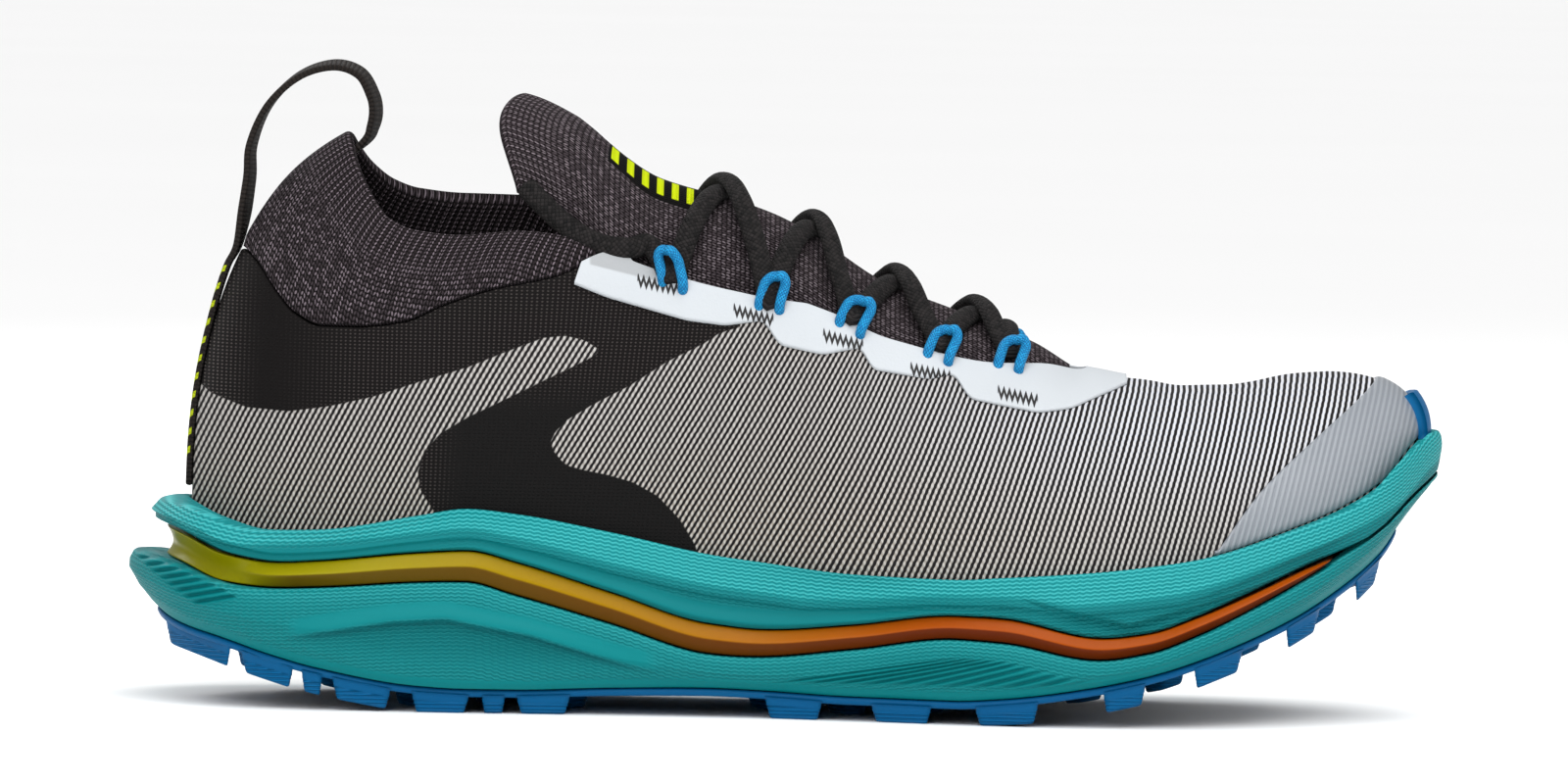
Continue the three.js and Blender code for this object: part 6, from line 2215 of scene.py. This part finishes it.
class SHOE_OT_outsole(Operator):
    """Rubber outsole: a thin base with bevelled lugs"""

    bl_idname = "shoe.outsole"
    bl_label = "Outsole"

    COLUMNS = 800
    CORNER_ROUND = 1.4
    CORNER_SHARE = 0.3
    SIDE_LEAN = 0.12
    MIDDLE_WIDTH = 7.5
    MIDDLE_SHARE = 0.22
    # Rings of a lug: share of the way down to the tip, and inset of its outline
    LUG_ROWS = (
        (-0.15, -0.5), (0.0, 0.0), (0.12, 0.15), (0.3, 0.25), (0.38, 0.5), (0.5, 0.55),
        (0.58, 0.8), (0.7, 0.85), (0.86, 1.05), (0.97, 1.35), (1.0, 1.8),
    )

    def lug(self, corners, lines):
        """Rounded outline through the corners, drawn in ring by ring down to the tip."""
        corners = np.asarray(corners, float)
        mids = []
        for k in range(len(corners)):
            a, b, c = corners[k - 1], corners[k], corners[(k + 1) % len(corners)]
            back, on = unit(a - b), unit(c - b)
            reach = min(np.linalg.norm(a - b), np.linalg.norm(c - b))
            reach = min(reach * self.CORNER_SHARE, self.CORNER_ROUND)
            for s in (0, 0.5, 1):
                p = b + back * reach * (1 - s) ** 2 + on * reach * s**2
                mids.append(p)
        outline = np.array(mids)
        if len(outline) % 2:
            outline = np.concatenate([outline, (outline[-1:] + outline[:1]) / 2])
        middle = outline.mean(0)
        reach = np.linalg.norm(outline - middle, axis=-1, keepdims=True)
        rings = []
        for down, inset in self.LUG_ROWS:
            p = middle + (outline - middle) * (1 - inset / reach)
            top, low = rubber_bottom(p[:, 0]), lug_bottom(p[:, 0])
            rings.append(np.column_stack([p, mix(top, low, down)]))
        rings = np.stack(rings)
        points, faces = closed_stack(rings)
        shade = np.repeat([lines if 0.3 < down < 0.9 else 0.0 for down, _ in self.LUG_ROWS], rings.shape[1])
        return points, faces, shade

    def side_lugs(self):
        for a, b in SIDE_LUGS * LENGTH:
            reach = LUG_REACH * float(sole_half((a + b) / 2))
            lean = (b - a) * self.SIDE_LEAN
            for side in (-1, 1):
                yield [
                    (x, float(sole_side(x) + side * (rubber_edge(x) - inward)))
                    for x, inward in ((a, 0), (b, 0), (b - lean, reach), (a + lean, reach))
                ]

    def middle_lugs(self):
        for row, along in enumerate(MIDDLE_LUG_ROWS):
            x = along * LENGTH
            length = MIDDLE_LUG_LENGTH if along < 0.4 else -MIDDLE_LUG_LENGTH
            width = min(self.MIDDLE_WIDTH, float(rubber_edge(x)) * self.MIDDLE_SHARE)
            for place in (0,) if row % 2 else (-0.3, 0.3):
                y = float(sole_side(x)) + place * float(rubber_edge(x))
                yield [
                    (x - length * 0.5, y - width * 0.7),
                    (x + length * 0.1, y - width),
                    (x + length * 0.6, y - width * 0.3),
                    (x + length * 0.6, y + width * 0.3),
                    (x + length * 0.1, y + width),
                    (x - length * 0.5, y + width * 0.7),
                ]

    def base(self):
        turns = even_turns(self.COLUMNS)
        rings = []
        for inset, height, drop in (
            (RUBBER_CORE, rubber_bottom, 0), (BOTTOM_INSET + 1.2, rubber_bottom, 0),
            (BOTTOM_INSET + 0.5, rubber_bottom, 0.1), (BOTTOM_INSET + 0.15, rubber_bottom, 0.5),
            (BOTTOM_INSET, rubber_bottom, 1.0), (BOTTOM_INSET + 0.1, rubber_top, -0.3),
            (BOTTOM_INSET + 0.4, rubber_top, 0), (RUBBER_CORE, rubber_top, 0),
        ):
            x, _ = plan_point(turns, sole_half, RUBBER_BACK, RUBBER_FRONT, inset)
            dent = RUBBER_DENT * along_table(HOLLOW, "depth", x)
            x, y = plan_point(turns, sole_half, RUBBER_BACK, RUBBER_FRONT, inset + dent)
            rings.append(np.stack([x, y, height(x) + drop], -1))
        rings = np.stack(rings)
        points, faces = closed_stack(rings)
        return points, faces, np.zeros(len(points))

    def execute(self, context):
        bodies = [self.base()]
        bodies += [self.lug(outline, 1.0) for outline in self.side_lugs()]
        bodies += [self.lug(outline, 0.6) for outline in self.middle_lugs()]
        starts = np.cumsum([0] + [len(points) for points, _, _ in bodies[:-1]])
        points = np.concatenate([points for points, _, _ in bodies])
        faces = np.concatenate([faces + start for (_, faces, _), start in zip(bodies, starts)])
        lines = np.concatenate([shade for _, _, shade in bodies])
        piece = make_mesh("outsole", points, faces, masks={"lines": lines}, closed=False)
        piece.data.polygons.foreach_set("use_smooth", np.ones(len(piece.data.polygons), bool))
        put(dress(piece, rubber_finish("outsole_rubber")), "rubber", "outsole")
        return {"FINISHED"}


OPERATORS = (
    SHOE_OT_stage,
    SHOE_OT_laces,
    SHOE_OT_upper,
    SHOE_OT_collar,
    SHOE_OT_tongue,
    SHOE_OT_overlays,
    SHOE_OT_heel_strap,
    SHOE_OT_insole,
    SHOE_OT_foam_upper,
    SHOE_OT_band,
    SHOE_OT_foam_lower,
    SHOE_OT_outsole,
)


class SHOE_PT_panel(Panel):
    """Sizes, colours and pieces of the shoe, in the sidebar"""

    bl_idname = "SHOE_PT_panel"
    bl_label = "Trail running shoe"
    bl_space_type = "VIEW_3D"
    bl_region_type = "UI"
    bl_category = "Shoe"

    def draw(self, context):
        for each in OPERATORS:
            self.layout.operator(each.bl_idname)
        for group in (sizes(), colours()):
            box = self.layout.box()
            for name in group.bl_rna.properties.keys()[2:]:
                box.prop(group, name)


CLASSES = (ShoeSizes, ShoeColours, *OPERATORS, SHOE_PT_panel)


def register():
    for each in CLASSES:
        bpy.utils.register_class(each)
    bpy.types.Scene.shoe_sizes = PointerProperty(type=ShoeSizes)
    bpy.types.Scene.shoe_colours = PointerProperty(type=ShoeColours)


def unregister():
    del bpy.types.Scene.shoe_colours
    del bpy.types.Scene.shoe_sizes
    for each in reversed(CLASSES):
        bpy.utils.unregister_class(each)


def main():
    register()
    for each in OPERATORS:
        group, verb = each.bl_idname.split(".")
        getattr(getattr(bpy.ops, group), verb)()


if __name__ == "__main__":
    main()
